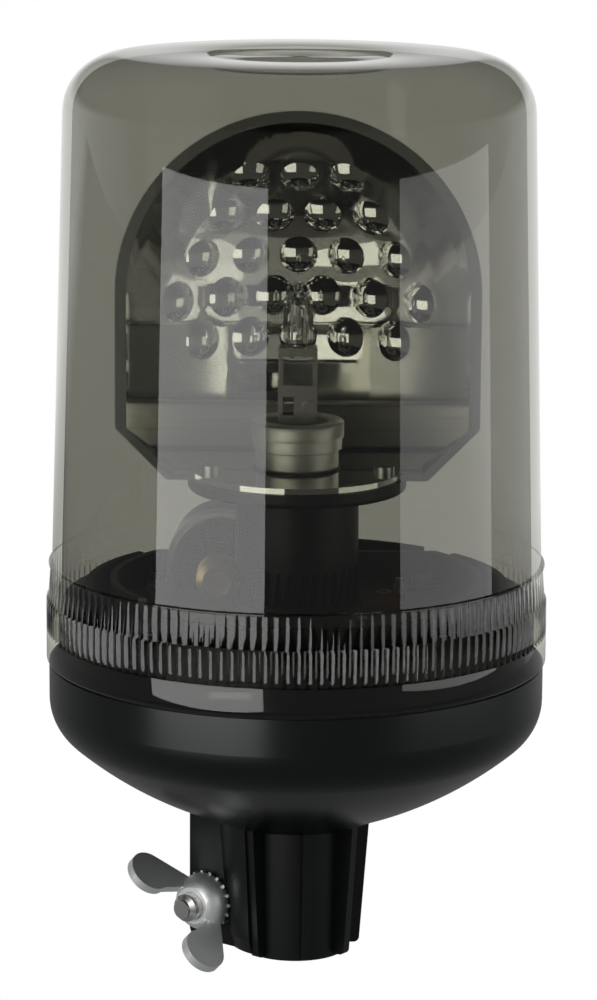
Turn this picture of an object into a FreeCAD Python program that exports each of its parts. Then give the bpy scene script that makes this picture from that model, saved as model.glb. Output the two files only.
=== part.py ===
"""Rotating beacon on a clamped pole socket, a FreeCAD macro. Millimetres, +Z up.

The origin lies on the axis at the mouth of the pole socket, and the mouth of the mirror faces -Y.
Each piece is one object of the document, labelled with its own name, and its sizes are bound
to the cells of the sheet called Sizes.
"""
import FreeCAD, Part
import Sketcher
import math
import os
import re

# ---------------------------------------------------------------------------------- sizes

SIZES = [
    # pole socket and its clamp
    ("spigot_radius", 12.0, "pole spigot, 24 mm across"),
    ("spigot_clearance", 0.2, "radial clearance of the open clamp"),
    ("spigot_depth", 45.0, "how far the spigot goes in"),
    ("socket_height", 40.0, "socket mouth to underside of bowl"),
    ("socket_wall", 3.0, "wall at the mouth"),
    ("socket_flare", 1.0, "growth of the tube radius towards the bowl"),
    ("neck_wall", 2.3, "wall of the neck inside the bowl"),
    ("stop_wall", 5.0, "closed end above the spigot"),
    ("rib_foot", 0.8, "lower end of the thin ribs"),
    ("rib_low_radius", 18.8, "reach of the ribs at the mouth"),
    ("rib_top_radius", 21.6, "reach of the ribs under the bowl"),
    ("rib_width", 2.6, "thin rib"),
    ("rib_round", 1.6, "rounded lower end of a rib"),
    ("rib_side_angle", 90.0, "thin ribs beside the thick half"),
    ("rib_front_angle", 137.0, "thin ribs between those and the back rib"),
    ("jaw_span", 174.0, "angle that the thick half takes"),
    ("jaw_foot", 1.8, "lower end of the thick half of the socket"),
    ("jaw_foot_radius", 18.9, "thick half at its lower end"),
    ("jaw_bevel", 4.2, "height of the bevel at its lower end"),
    ("jaw_low_radius", 20.2, "thick half over the bevel"),
    ("jaw_top_radius", 22.3, "thick half under the bowl"),
    ("clamp_angle", 143.0, "direction of the lug from +X"),
    ("lug_root", 8.0, "where the lug starts inside the thick half"),
    ("lug_reach", 25.3, "outer edge of the lug"),
    ("lug_width", 34.0, "over the flat seats of the lug"),
    ("lug_foot", 2.0, "lower edge of the lug"),
    ("lug_round", 3.0, "lower outer corner of the lug"),
    ("slit_width", 3.0, "slit through the lug"),
    ("slit_top", 36.0, "upper end of the slit"),
    ("bolt_reach", 18.4, "clamp bolt from the axis"),
    ("bolt_height", 14.3, "clamp bolt above the mouth"),
    ("bolt_radius", 4.0, "M8 thread"),
    ("bolt_hole_clearance", 0.2, "lug hole over bolt"),
    ("bolt_head_across", 13.0, "hexagon across flats"),
    ("bolt_head_height", 5.3, "hexagon height"),
    ("bolt_stickout", 12.6, "bolt beyond the washer seat"),
    ("bolt_point_radius", 2.7, "dog point"),
    ("bolt_point_length", 1.8, "length of the point"),
    ("washer_thickness", 1.3, "toothed washer"),
    ("washer_bore_clearance", 0.3, "washer bore over bolt"),
    ("washer_body_radius", 7.7, "washer at the roots of its teeth"),
    ("washer_tooth_radius", 8.85, "washer at the tips"),
    ("washer_teeth", 18, "teeth of the washer"),
    ("nut_fit", 0.06, "nut bore over bolt"),
    ("nut_base_radius", 8.3, "hub of the wing nut at its seat"),
    ("nut_front_radius", 5.4, "hub of the wing nut at its front"),
    ("nut_height", 6.5, "hub height"),
    ("nut_base_edge", 0.8, "straight edge at the seat"),
    ("wing_out", 13.9, "lobe centre from the bolt axis"),
    ("wing_up", 13.8, "lobe centre above the seat"),
    ("wing_lobe", 6.3, "lobe radius"),
    ("wing_thickness", 2.6, "wing thickness"),
    ("wing_root", 1.2, "where a wing leaves the hub"),
    ("hub_crown", 7.0, "rounding of the hub"),
    ("spot_clearance", 0.6, "spot face round the toothed washer"),
    ("wing_turn", 136.0, "turn of the wings about the bolt"),
    # base bowl
    ("bowl_radius", 70.5, "outer radius"),
    ("bowl_wall", 3.0, "wall"),
    ("bowl_floor", 4.0, "floor over the socket"),
    ("bowl_wall_foot", 75.5, "where the upright wall starts"),
    ("bowl_corner", 15.0, "corner radius"),
    ("bowl_flank_angle", 41.0, "slope where the corner meets the flank"),
    ("bowl_foot_radius", 27.0, "where the flank starts"),
    ("bowl_foot_rise", 2.0, "rise from collar to flank"),
    ("collar_radius", 23.4, "collar round the socket"),
    ("neck_boss_radius", 21.5, "boss round the neck inside the bowl"),
    ("neck_gap", 0.15, "hole over neck"),
    ("ledge_height", 86.0, "rim of the bowl"),
    ("groove_depth", 1.2, "seal groove"),
    ("groove_radius", 69.6, "outer wall of the groove"),
    ("spigot_wall_radius", 66.3, "ring that the dome goes over"),
    ("spigot_wall", 3.5, "wall of that ring"),
    ("spigot_top", 104.0, "upper edge of that ring"),
    ("spigot_root", 80.0, "where that ring leaves the bowl wall"),
    ("boss_radius", 5.0, "screw boss"),
    ("boss_foot", 83.0, "lower end of the bosses"),
    ("boss_bite", 1.2, "how far a boss runs into the ring"),
    ("deck_screws", 4, "screws that hold the deck"),
    ("ramp_count", 4, "bayonet ramps and lugs"),
    ("ramp_start", 340.0, "closed end of the first ramp"),
    ("ramp_span", 50.0, "angle of a ramp"),
    ("ramp_pitch", 24.0, "rise of the dome in a full turn"),
    ("ramp_height", 92.6, "underside of a ramp at its closed end"),
    ("ramp_thickness", 1.8, "ramp"),
    ("ramp_reach", 1.05, "ramp beyond the ring"),
    ("tab_top", 97.0, "upper end of the stop tab"),
    ("tab_width", 3.0, "stop tab"),
    ("tab_clearance", 0.4, "stop tab over the seal once that has risen with the dome"),
    ("dome_turn", 60.0, "turn that frees the dome, degrees"),
    ("tab_back", 3.2, "stop tab before the closed end, degrees"),
    # socket plate and contacts
    ("plate_thickness", 2.0, "steel plate over the neck"),
    ("plate_radius", 20.5, "steel plate over the neck"),
    ("plate_screw_ring", 10.2, "screws of the plate"),
    ("plate_screws", 3, "screws of the plate"),
    ("small_screw_radius", 1.25, "shank of the plate screws"),
    ("small_head_radius", 2.5, "head of the plate screws"),
    ("small_head_height", 1.8, "head of the plate screws"),
    ("small_screw_length", 6.0, "shank of the plate screws"),
    ("carrier_radius", 5.2, "contact carrier in the neck"),
    ("carrier_cap_radius", 7.0, "contact carrier above the neck"),
    ("carrier_foot", 46.0, "lower face of the carrier"),
    ("carrier_floor", 1.6, "carrier floor"),
    ("carrier_top", 64.0, "top of the carrier"),
    ("carrier_roof", 2.0, "carrier roof"),
    ("chamber_radius", 4.1, "spring chamber"),
    ("pin_radius", 2.0, "centre contact"),
    ("pin_fit", 0.06, "centre contact in its hole"),
    ("pin_tip", 45.3, "lower end of the contact at rest"),
    ("pin_collar_radius", 3.7, "collar under the spring"),
    ("pin_collar", 1.5, "collar under the spring"),
    ("stem_radius", 1.1, "stem of the contact"),
    ("stem_clearance", 0.25, "hole over stem"),
    ("stem_stickout", 1.0, "stem above the roof at rest"),
    ("spring_radius", 2.9, "mean radius of the spring"),
    ("spring_wire", 0.4, "wire radius"),
    ("spring_turns", 5, "turns"),
    ("tag_thickness", 0.6, "earth tag"),
    ("tag_radius", 12.9, "earth tag ring"),
    ("tag_clearance", 0.4, "openings of plate and tag over the carrier"),
    ("blade_width", 6.3, "blade of the earth tag"),
    ("blade_height", 9.0, "blade of the earth tag"),
    # deck and gear tray
    ("deck_base", 97.5, "underside of the deck"),
    ("deck_thickness", 2.5, "deck plate"),
    ("deck_radius", 61.8, "deck plate"),
    ("deck_rim_radius", 60.0, "deck rim, outside"),
    ("deck_rim_wall", 2.0, "deck rim"),
    ("deck_rim_top", 108.5, "deck rim"),
    ("deck_notch", 6.2, "notch in the rim round a screw"),
    ("deck_screw_radius", 1.75, "shank"),
    ("deck_screw_head", 3.0, "head radius"),
    ("deck_screw_head_height", 2.2, "head height"),
    ("deck_screw_length", 10.0, "shank"),
    ("tray_floor", 2.0, "floor of the gear tray"),
    ("tray_radius", 53.0, "round edge of the tray"),
    ("tray_back", 34.0, "straight back edge of the tray"),
    ("tray_wall", 2.0, "wall of the tray"),
    ("tray_wall_height", 8.0, "wall above the floor"),
    ("tray_front_height", 2.0, "wall above the floor at the front"),
    ("tray_front_edge", 29.6, "where the wall steps down"),
    ("hub_radius", 12.0, "hub under the tray"),
    ("hub_foot", 92.0, "lower end of the hub"),
    ("hub_gap", 0.5, "deck hole over hub"),
    ("pad_x", 16.6, "front screw pads of the tray"),
    ("pad_y", 33.0, "front screw pads of the tray"),
    ("pad_back_x", 36.5, "rear screw pad of the tray"),
    ("pad_back_y", 19.4, "rear screw pad of the tray"),
    ("pad_radius", 7.0, "front screw pads of the tray"),
    ("pad_height", 1.6, "front screw pads of the tray"),
    ("tray_screw_radius", 1.5, "shank"),
    ("tray_screw_head", 3.1, "head radius"),
    ("tray_screw_head_height", 2.0, "head height"),
    ("tray_screw_length", 5.0, "shank below the head"),
    # worm drive
    ("tooth_module", 1.0, "module of worm and wheel"),
    ("wheel_teeth", 34, "teeth of the wheel"),
    ("addendum", 0.8, "tooth height above the pitch circle"),
    ("dedendum", 1.0, "tooth depth below the pitch circle"),
    ("worm_pitch_radius", 5.4, "pitch radius of the worm"),
    ("pressure_angle", 20.0, "flank angle"),
    ("flank_play", 0.06, "thinning of each flank"),
    ("drive_height", 109.0, "height of the worm axis"),
    ("wheel_width", 10.0, "toothed band"),
    ("worm_length", 16.0, "worm"),
    ("worm_cup_radius", 3.4, "hollow front end of the worm"),
    ("worm_cup_depth", 2.5, "hollow front end of the worm"),
    ("worm_turns", 4, "turns of thread"),
    ("motor_radius", 13.75, "motor can"),
    ("motor_face", 17.0, "front face of the motor from the beacon axis"),
    ("motor_length", 29.0, "motor"),
    ("cap_thickness", 4.0, "motor end cap"),
    ("cap_rim_height", 0.8, "raised rim of the end cap"),
    ("cap_rim_wall", 1.6, "raised rim of the end cap"),
    ("cap_boss_radius", 3.0, "shaft boss of the end cap"),
    ("cap_boss_height", 1.5, "shaft boss of the end cap"),
    ("vent_inner", 6.8, "kidney vents"),
    ("vent_outer", 11.2, "kidney vents"),
    ("vent_angle", 20.0, "half the angle of a vent"),
    ("vent_depth", 2.6, "kidney vents"),
    ("vent_count", 6, "kidney vents"),
    ("cap_hole_ring", 9.4, "screw holes between the vents"),
    ("cap_hole_radius", 1.3, "screw holes between the vents"),
    ("rear_boss_radius", 3.5, "rear bearing of the motor"),
    ("rear_boss_height", 1.5, "rear bearing of the motor"),
    ("shaft_radius", 1.6, "motor shaft"),
    ("shaft_fit", 0.05, "running clearance of the shaft"),
    ("shaft_reach", 22.0, "shaft inside the motor"),
    ("cradle_wall", 2.1, "trough under the motor"),
    ("cradle_start", 19.0, "front end of the trough"),
    ("cradle_end", 44.5, "rear end of the trough"),
    ("cradle_gap", 0.6, "deck opening round the trough"),
    ("strap_thickness", 1.5, "motor strap"),
    ("strap_width", 6.0, "motor strap"),
    ("strap_start", 18.6, "front edge of the strap"),
    ("strap_foot", 5.6, "feet of the strap"),
    ("strap_screw_radius", 1.25, "shank"),
    ("strap_screw_head", 2.3, "head radius"),
    ("strap_screw_head_height", 1.8, "head height"),
    ("strap_screw_length", 3.4, "shank below the head"),
    ("blade_gap", 6.0, "motor terminals from the motor axis"),
    ("blade_thickness", 0.6, "motor terminals"),
    ("motor_blade_width", 2.8, "motor terminals"),
    ("motor_blade_length", 3.8, "motor terminals"),
    # terminal board
    ("board_x", 18.5, "terminal board, inner edge"),
    ("board_y", -5.0, "terminal board, front edge"),
    ("board_width", 12.5, "terminal board"),
    ("board_length", 13.0, "terminal board"),
    ("board_thickness", 2.0, "terminal board"),
    ("eyelet_x", 25.0, "eyelet"),
    ("eyelet_y", 4.6, "eyelet"),
    ("eyelet_radius", 2.4, "eyelet"),
    ("eyelet_bore", 1.1, "eyelet"),
    ("eyelet_thickness", 0.5, "eyelet"),
    ("stud_x", 29.2, "square post"),
    ("stud_y", 5.0, "square post"),
    ("stud_side", 2.8, "square post, lower part"),
    ("stud_height", 2.4, "square post, lower part"),
    ("stud_tip_side", 1.8, "square post, upper part"),
    ("stud_tip_height", 1.9, "square post, upper part"),
    # centre post and rotor
    ("post_radius", 7.0, "fixed post"),
    ("post_bore", 4.0, "lead channel of the post"),
    ("bush_fit", 0.05, "running clearance of the bushes"),
    ("bush_wall", 2.5, "bearing bush"),
    ("bush_length", 9.2, "bearing bush"),
    ("thrust_thickness", 0.8, "thrust washer"),
    ("thrust_radius", 12.0, "thrust washer"),
    ("thrust_clearance", 0.2, "thrust washer over post"),
    ("drum_radius", 17.5, "drum"),
    ("drum_seam", 124.0, "seam between drum and carrier"),
    ("carrier_disc_base", 135.4, "underside of the carrier disc"),
    ("carrier_disc_radius", 31.0, "carrier disc"),
    ("carrier_disc_thickness", 3.9, "carrier disc"),
    ("carrier_disc_round", 1.5, "lower edge of the disc"),
    ("clip_gap", 0.3, "end play under the circlip"),
    ("clip_thickness", 1.0, "circlip"),
    ("clip_radius", 9.2, "circlip"),
    ("clip_groove", 0.6, "depth of its groove"),
    ("clip_opening", 5.0, "opening of the circlip"),
    # reflector
    ("focal_length", 20.0, "focal length of the mirror"),
    ("mirror_half_width", 48.0, "half width of the mirror at its rim"),
    ("mirror_crown", 192.0, "height where the trough turns into the dome"),
    ("mirror_wall", 1.8, "moulded wall"),
    ("mirror_foot_half", 36.0, "half width at the foot"),
    ("mirror_bevel", 12.2, "height of the cut lower corners"),
    ("mirror_flange", 30.0, "round foot of the mirror"),
    ("mirror_opening", 12.9, "opening for the lamp"),
    ("lip_reach", 1.7, "rim lip beyond the wall"),
    ("lip_thickness", 1.5, "rim lip"),
    ("bubble_radius", 8.2, "sphere of a bubble"),
    ("bubble_foot", 5.8, "footprint radius of a bubble"),
    ("bubble_pitch", 13.6, "spacing of the bubbles"),
    ("bubble_low", 176.0, "lowest row of bubbles"),
    ("bubble_limit", 37.0, "bubbles end here, from the dome centre"),
    ("mirror_screw_x", 24.5, "reflector screws"),
    ("mirror_screw_y", 4.0, "reflector screws in front of the axis"),
    ("mirror_screw_back", 26.4, "rear reflector screw"),
    ("mirror_screw_radius", 1.5, "shank"),
    ("mirror_screw_head", 2.9, "head radius"),
    ("mirror_screw_head_height", 1.6, "head height"),
    ("mirror_screw_length", 5.0, "shank below the head"),
    # lamp
    ("cup_base", 141.2, "underside of the lamp cup"),
    ("cup_radius", 11.7, "lamp cup"),
    ("cup_wall", 1.4, "lamp cup"),
    ("cup_floor", 2.0, "lamp cup"),
    ("cup_round", 1.2, "lower edge of the cup"),
    ("cup_top", 149.0, "rim of the lamp cup"),
    ("ring_foot", 147.0, "lower edge of the lamp ring"),
    ("ring_fit", 0.05, "running clearance of the lamp ring"),
    ("ring_skirt_radius", 12.6, "smooth band of the ring"),
    ("ring_radius", 13.2, "knurled band of the ring"),
    ("ring_step", 150.6, "where the knurled band starts"),
    ("ring_top", 155.2, "top of the ring"),
    ("ring_mouth", 8.8, "opening of the ring"),
    ("ring_edge", 0.5, "bevelled edges of the ring"),
    ("ring_gap", 0.3, "ring over the bulb flange"),
    ("flange_thickness", 1.2, "bulb flange"),
    ("flange_clearance", 0.3, "bulb flange inside the ring"),
    ("lamp_pin_radius", 2.0, "lamp contact"),
    ("lamp_pin_foot", 141.0, "lower end of the lamp contact"),
    ("sleeve_width", 11.0, "bulb sleeve"),
    ("sleeve_depth", 7.0, "bulb sleeve"),
    ("sleeve_wall", 0.6, "bulb sleeve"),
    ("sleeve_top", 176.0, "bulb sleeve"),
    ("window_half", 4.1, "upper window"),
    ("window_foot", 165.4, "upper window"),
    ("window_top", 173.6, "upper window"),
    ("slot_left", -4.2, "lower window"),
    ("slot_right", -1.1, "lower window"),
    ("slot_foot", 156.8, "lower window"),
    ("slot_top", 162.2, "lower window"),
    ("glass_radius", 4.2, "glass capsule"),
    ("glass_wall", 0.7, "glass capsule"),
    ("glass_foot", 174.5, "floor of the capsule"),
    ("glass_shoulder", 188.4, "where the capsule rounds over"),
    ("glass_top", 192.0, "top of the capsule"),
    ("glass_neck", 2.8, "capsule inside the sleeve"),
    ("glass_tip_radius", 1.2, "pinched tip"),
    ("glass_tip", 194.2, "pinched tip"),
    ("pinch_width", 7.6, "flat pinch of the glass"),
    ("pinch_depth", 2.8, "flat pinch of the glass"),
    ("pinch_foot", 160.0, "flat pinch of the glass"),
    ("coil_radius", 0.75, "filament"),
    ("coil_foot", 181.5, "filament"),
    ("coil_length", 6.0, "filament"),
    ("lead_gap", 1.7, "support wires from the axis"),
    ("lead_radius", 0.3, "support wires"),
    ("clamp_screw_x", 3.2, "screw on the sleeve"),
    ("clamp_screw_height", 159.3, "screw on the sleeve"),
    ("clamp_screw_radius", 1.9, "screw on the sleeve"),
    ("clamp_screw_thickness", 0.9, "screw on the sleeve"),
    ("spring_clip_width", 7.0, "clip in front of the sleeve"),
    ("spring_clip_depth", 2.2, "clip in front of the sleeve"),
    ("spring_clip_height", 4.2, "clip in front of the sleeve"),
    ("spring_clip_front", 7.2, "front face of the clip from the axis"),
    # dome and seal
    ("rim_height", 86.4, "lower edge of the dome"),
    ("seal_clearance", 0.3, "seal in its groove"),
    ("rim_radius", 71.2, "plain rim of the dome"),
    ("rim_round", 1.2, "lower outer edge"),
    ("skirt_clearance", 0.4, "dome over ramps"),
    ("bayonet_clearance", 0.35, "lug inside the ring and under the ramp"),
    ("bayonet_span", 10.0, "angle of a lug"),
    ("bayonet_thickness", 2.0, "lug"),
    ("band_foot", 95.2, "lower edge of the ribbed band"),
    ("band_step", 105.0, "where the ribs step in"),
    ("band_top", 114.2, "upper edge of the ribbed band"),
    ("band_valley", 69.9, "between the ribs"),
    ("grip_low_radius", 71.2, "ribs, lower half"),
    ("grip_high_radius", 70.6, "ribs, upper half"),
    ("grip_width", 1.25, "one rib"),
    ("grip_count", 144, "ribs"),
    ("grip_bite", 0.4, "how far a rib runs into the wall"),
    ("bead_radius", 70.5, "bead over the ribs"),
    ("bead_height", 0.9, "bead over the ribs"),
    ("wall_foot_radius", 69.5, "dome wall over the bead"),
    ("dome_draft", 1.62, "slope of the dome wall"),
    ("dome_wall", 2.8, "dome wall"),
    ("dome_top", 258.1, "dome"),
    ("dome_corner", 16.1, "corner radius of the dome"),
    ("recess_radius", 25.0, "shallow round recess in the top"),
    ("recess_depth", 0.8, "shallow round recess in the top"),
    ("gate_radius", 2.2, "gate mark"),
    ("gate_height", 0.4, "gate mark"),
    ("skirt_top", 106.5, "where the skirt steps in to the wall"),
]
ALIASES = {alias for alias, size, note in SIZES}

DOC = FreeCAD.newDocument("RotatingBeacon")
SHEET = DOC.addObject("Spreadsheet::Sheet", "Sizes")
for row, (alias, size, note) in enumerate(SIZES, start=1):
    SHEET.set("A%d" % row, alias)
    SHEET.set("B%d" % row, str(size))
    SHEET.setAlias("B%d" % row, alias)
    SHEET.set("C%d" % row, note)
DOC.recompute()

PIECES = []
UP = FreeCAD.Vector(0, 0, 1)


# ---------------------------------------------------------------------------------- helpers

def bound(expression):
    """The expression with each size named as a cell of the sheet."""
    def cell(word):
        return "Sizes." + word.group() if word.group() in ALIASES else word.group()
    return re.sub(r"[A-Za-z_]\w*", cell, expression)


def value(expression):
    """The number that an expression of sizes gives now."""
    return float(SHEET.evalExpression(bound(expression)))


def new_body(label):
    """A PartDesign body for one piece."""
    body = DOC.addObject("PartDesign::Body", label + "_body")
    body.Label = label
    body.AllowCompound = True
    PIECES.append(body)
    return body


def origin_part(body, role):
    """A plane or an axis of the body's own origin."""
    return next(item for item in body.Origin.OriginFeatures if item.Role == role)


def place(piece, x="0", y="0", z="0", turns=()):
    """Bind a piece's Placement: a point and a chain of turns, each (axis, angle)."""
    point = "create(<<vector>>; %s; %s; %s)" % (bound(x), bound(y), bound(z))
    rotation = " * ".join(
        "create(<<rotation>>; create(<<vector>>; %s); %s)" % (axis, bound(angle)) for axis, angle in turns)
    piece.setExpression("Placement", "create(<<placement>>; %s; %s)" % (point, rotation))


def new_sketch(body, name, role, offset=None, turn=None):
    """A sketch on a plane of the body's origin.

    offset moves it along the plane's normal. turn swings it about the body's upright axis.
    """
    sketch = body.newObject("Sketcher::SketchObject", name)
    sketch.AttachmentSupport = [(origin_part(body, role), "")]
    sketch.MapMode = "FlatFace"
    if turn:
        upright = UP if role == "XY_Plane" else FreeCAD.Vector(0, 1, 0)
        sketch.AttachmentOffset = FreeCAD.Placement(FreeCAD.Vector(), FreeCAD.Rotation(upright, 1))
        sketch.setExpression("AttachmentOffset.Rotation.Angle", bound(turn))
    if offset:
        sketch.setExpression("AttachmentOffset.Base.z", bound(offset))
    return sketch


def constrain(sketch, kind, where, expression):
    """Bind one distance from the origin, or a radius, to an expression."""
    if kind != "Radius" and expression == "0":
        axis = -2 if kind == "DistanceX" else -1
        sketch.addConstraint(Sketcher.Constraint("PointOnObject", *where, axis))
        return
    first = () if kind == "Radius" else (-1, 1)
    index = sketch.addConstraint(Sketcher.Constraint(kind, *first, *where, value(expression)))
    sketch.setExpression("Constraints[%d]" % index, bound(expression))


def outline(sketch, points):
    """A closed outline. Each point is (x, y) or (x, y, bend): bend is the radius of the arc that
    runs on to the next point, positive when it turns left and negative when it turns right.
    """
    places = [FreeCAD.Vector(value(point[0]), value(point[1]), 0) for point in points]
    ends = []
    for index, point in enumerate(points):
        start = places[index]
        end = places[(index + 1) % len(points)]
        if len(point) == 2:
            edge = sketch.addGeometry(Part.LineSegment(start, end), False)
            ends.append((edge, 1, 2))
            continue
        bend = value(point[2])
        chord = end - start
        rise = math.sqrt(max(bend ** 2 - chord.Length ** 2 / 4, 0))
        across = FreeCAD.Vector(-chord.y, chord.x, 0).normalize()
        centre = (start + end) / 2 + across * math.copysign(rise, bend)
        low, high = (start, end) if bend > 0 else (end, start)
        first = math.atan2(low.y - centre.y, low.x - centre.x)
        last = math.atan2(high.y - centre.y, high.x - centre.x)
        if last < first:
            last += 2 * math.pi
        circle = Part.Circle(centre, UP, abs(bend))
        edge = sketch.addGeometry(Part.ArcOfCircle(circle, first, last), False)
        ends.append((edge, 1, 2) if bend > 0 else (edge, 2, 1))
    for index, (edge, start, end) in enumerate(ends):
        following = ends[(index + 1) % len(ends)]
        sketch.addConstraint(Sketcher.Constraint("Coincident", edge, end, following[0], following[1]))
    for (edge, start, end), point in zip(ends, points):
        constrain(sketch, "DistanceX", (edge, start), point[0])
        constrain(sketch, "DistanceY", (edge, start), point[1])
        if len(point) == 3:
            constrain(sketch, "Radius", (edge,), point[2].lstrip("-"))
    return sketch


def disc(sketch, radius, x="0", y="0"):
    """A full circle."""
    centre = FreeCAD.Vector(value(x), value(y), 0)
    edge = sketch.addGeometry(Part.Circle(centre, UP, value(radius)), False)
    if x == "0" and y == "0":
        sketch.addConstraint(Sketcher.Constraint("Coincident", edge, 3, -1, 1))
    else:
        constrain(sketch, "DistanceX", (edge, 3), x)
        constrain(sketch, "DistanceY", (edge, 3), y)
    constrain(sketch, "Radius", (edge,), radius)
    return sketch


def block(sketch, left, low, right, high):
    """A rectangle between two corners."""
    return outline(sketch, [(left, low), (right, low), (right, high), (left, high)])


def revolve(body, name, sketch, angle=None):
    """Turn a profile about the upright axis, a full turn or centred on its plane."""
    feature = body.newObject("PartDesign::Revolution", name)
    feature.Profile = sketch
    feature.ReferenceAxis = (sketch, ["V_Axis"])
    feature.Angle = 360
    if angle:
        feature.Midplane = True
        feature.setExpression("Angle", bound(angle))
    return feature


def pad(body, name, sketch, length, middle=False, back=False):
    """Grow a profile along its plane's normal."""
    feature = body.newObject("PartDesign::Pad", name)
    feature.Profile = sketch
    feature.SideType = "Symmetric" if middle else "One side"
    feature.Reversed = back
    feature.setExpression("Length", bound(length))
    return feature


def pocket(body, name, sketch, length=None, middle=False, back=False):
    """Cut a profile against its plane's normal, to a depth or through all."""
    feature = body.newObject("PartDesign::Pocket", name)
    feature.Profile = sketch
    feature.SideType = "Symmetric" if middle else "One side"
    feature.Reversed = back
    if length:
        feature.setExpression("Length", bound(length))
    else:
        feature.Type = "ThroughAll"
    return feature


def helix(body, name, sketch, pitch, height):
    """Wind a profile round the upright axis."""
    feature = body.newObject("PartDesign::AdditiveHelix", name)
    feature.Profile = sketch
    feature.ReferenceAxis = (sketch, ["V_Axis"])
    feature.Mode = "pitch-height-angle"
    feature.setExpression("Pitch", bound(pitch))
    feature.setExpression("Height", bound(height))
    return feature


def repeat(body, name, feature, count):
    """Copy a feature round the upright axis."""
    DOC.recompute()
    pattern = body.newObject("PartDesign::PolarPattern", name)
    pattern.Originals = [feature]
    pattern.Axis = (origin_part(body, "Z_Axis"), [""])
    pattern.Angle = 360
    pattern.setExpression("Occurrences", bound(count))
    body.Tip = pattern
    return pattern


def turned(label, points):
    """A piece that is one full revolved profile."""
    body = new_body(label)
    revolve(body, label + "_turning", outline(new_sketch(body, label + "_profile", "XZ_Plane"), points))
    return body


def screws(label, spots, seat, head, head_height, shank, length):
    """Like screws as one group: flat seats at one height, heads above, shanks below."""
    body = new_body(label)
    shanks = new_sketch(body, label + "_shanks", "XY_Plane", seat)
    heads = new_sketch(body, label + "_heads", "XY_Plane", seat)
    for x, y in spots:
        disc(shanks, shank, x, y)
        disc(heads, head, x, y)
    pad(body, label + "_shank", shanks, length, back=True)
    pad(body, label + "_head", heads, head_height)
    return body


def ring_spots(radius, first, count):
    """Places of like screws round the axis."""
    step = "360 / %s" % count
    return [("(%s) * cos(%s + %d * %s)" % (radius, first, index, step),
             "(%s) * sin(%s + %d * %s)" % (radius, first, index, step))
            for index in range(int(value(count)))]


# Sizes that several pieces share
BORE = "(spigot_radius + spigot_clearance)"
TUBE = "(spigot_radius + spigot_clearance + socket_wall)"
NECK = "(spigot_radius + spigot_clearance + neck_wall)"
NECK_TOP = "(spigot_depth + stop_wall)"
PLATE_TOP = "(spigot_depth + stop_wall + plate_thickness)"
TAG_TOP = "(spigot_depth + stop_wall + plate_thickness + tag_thickness)"
DECK_TOP = "(deck_base + deck_thickness)"
FLOOR = "(deck_base + deck_thickness + tray_floor)"
BOSS_RING = "(spigot_wall_radius - spigot_wall - boss_radius + boss_bite)"
BUSH_RADIUS = "(post_radius + bush_fit + bush_wall)"
DRUM_FOOT = "(deck_base + deck_thickness + tray_floor + thrust_thickness)"
WHEEL_PITCH = "(tooth_module * wheel_teeth / 2)"
WORM_X = "(-tooth_module * wheel_teeth / 2 - worm_pitch_radius)"
DISC_TOP = "(carrier_disc_base + carrier_disc_thickness)"
MOTOR_TURN = [("1; 0; 0", "-90")]
BOLT_TURN = [("0; 0; 1", "clamp_angle"), ("1; 0; 0", "-90")]


# Places of like screws
TRAY_SPOTS = [("pad_x", "-pad_y"), ("-pad_x", "-pad_y"), ("pad_back_x", "pad_back_y")]
STRAP_OUT = "(motor_radius + strap_thickness + strap_foot / 2)"
STRAP_SPOTS = [("%s - %s" % (WORM_X, STRAP_OUT), "strap_start + strap_width / 2"),
               ("%s + %s" % (WORM_X, STRAP_OUT), "strap_start + strap_width / 2")]
MIRROR_SPOTS = [("mirror_screw_x", "-mirror_screw_y"), ("-mirror_screw_x", "-mirror_screw_y"),
                ("0", "mirror_screw_back")]


def on_bolt(piece, along):
    """Place a piece on the clamp bolt, its own +Z along the bolt towards the wing nut."""
    place(piece,
          "bolt_reach * cos(clamp_angle) - (%s) * sin(clamp_angle)" % along,
          "bolt_reach * sin(clamp_angle) + (%s) * cos(clamp_angle)" % along,
          "bolt_height", BOLT_TURN)


# ---------------------------------------------------------------------------------- base

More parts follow.
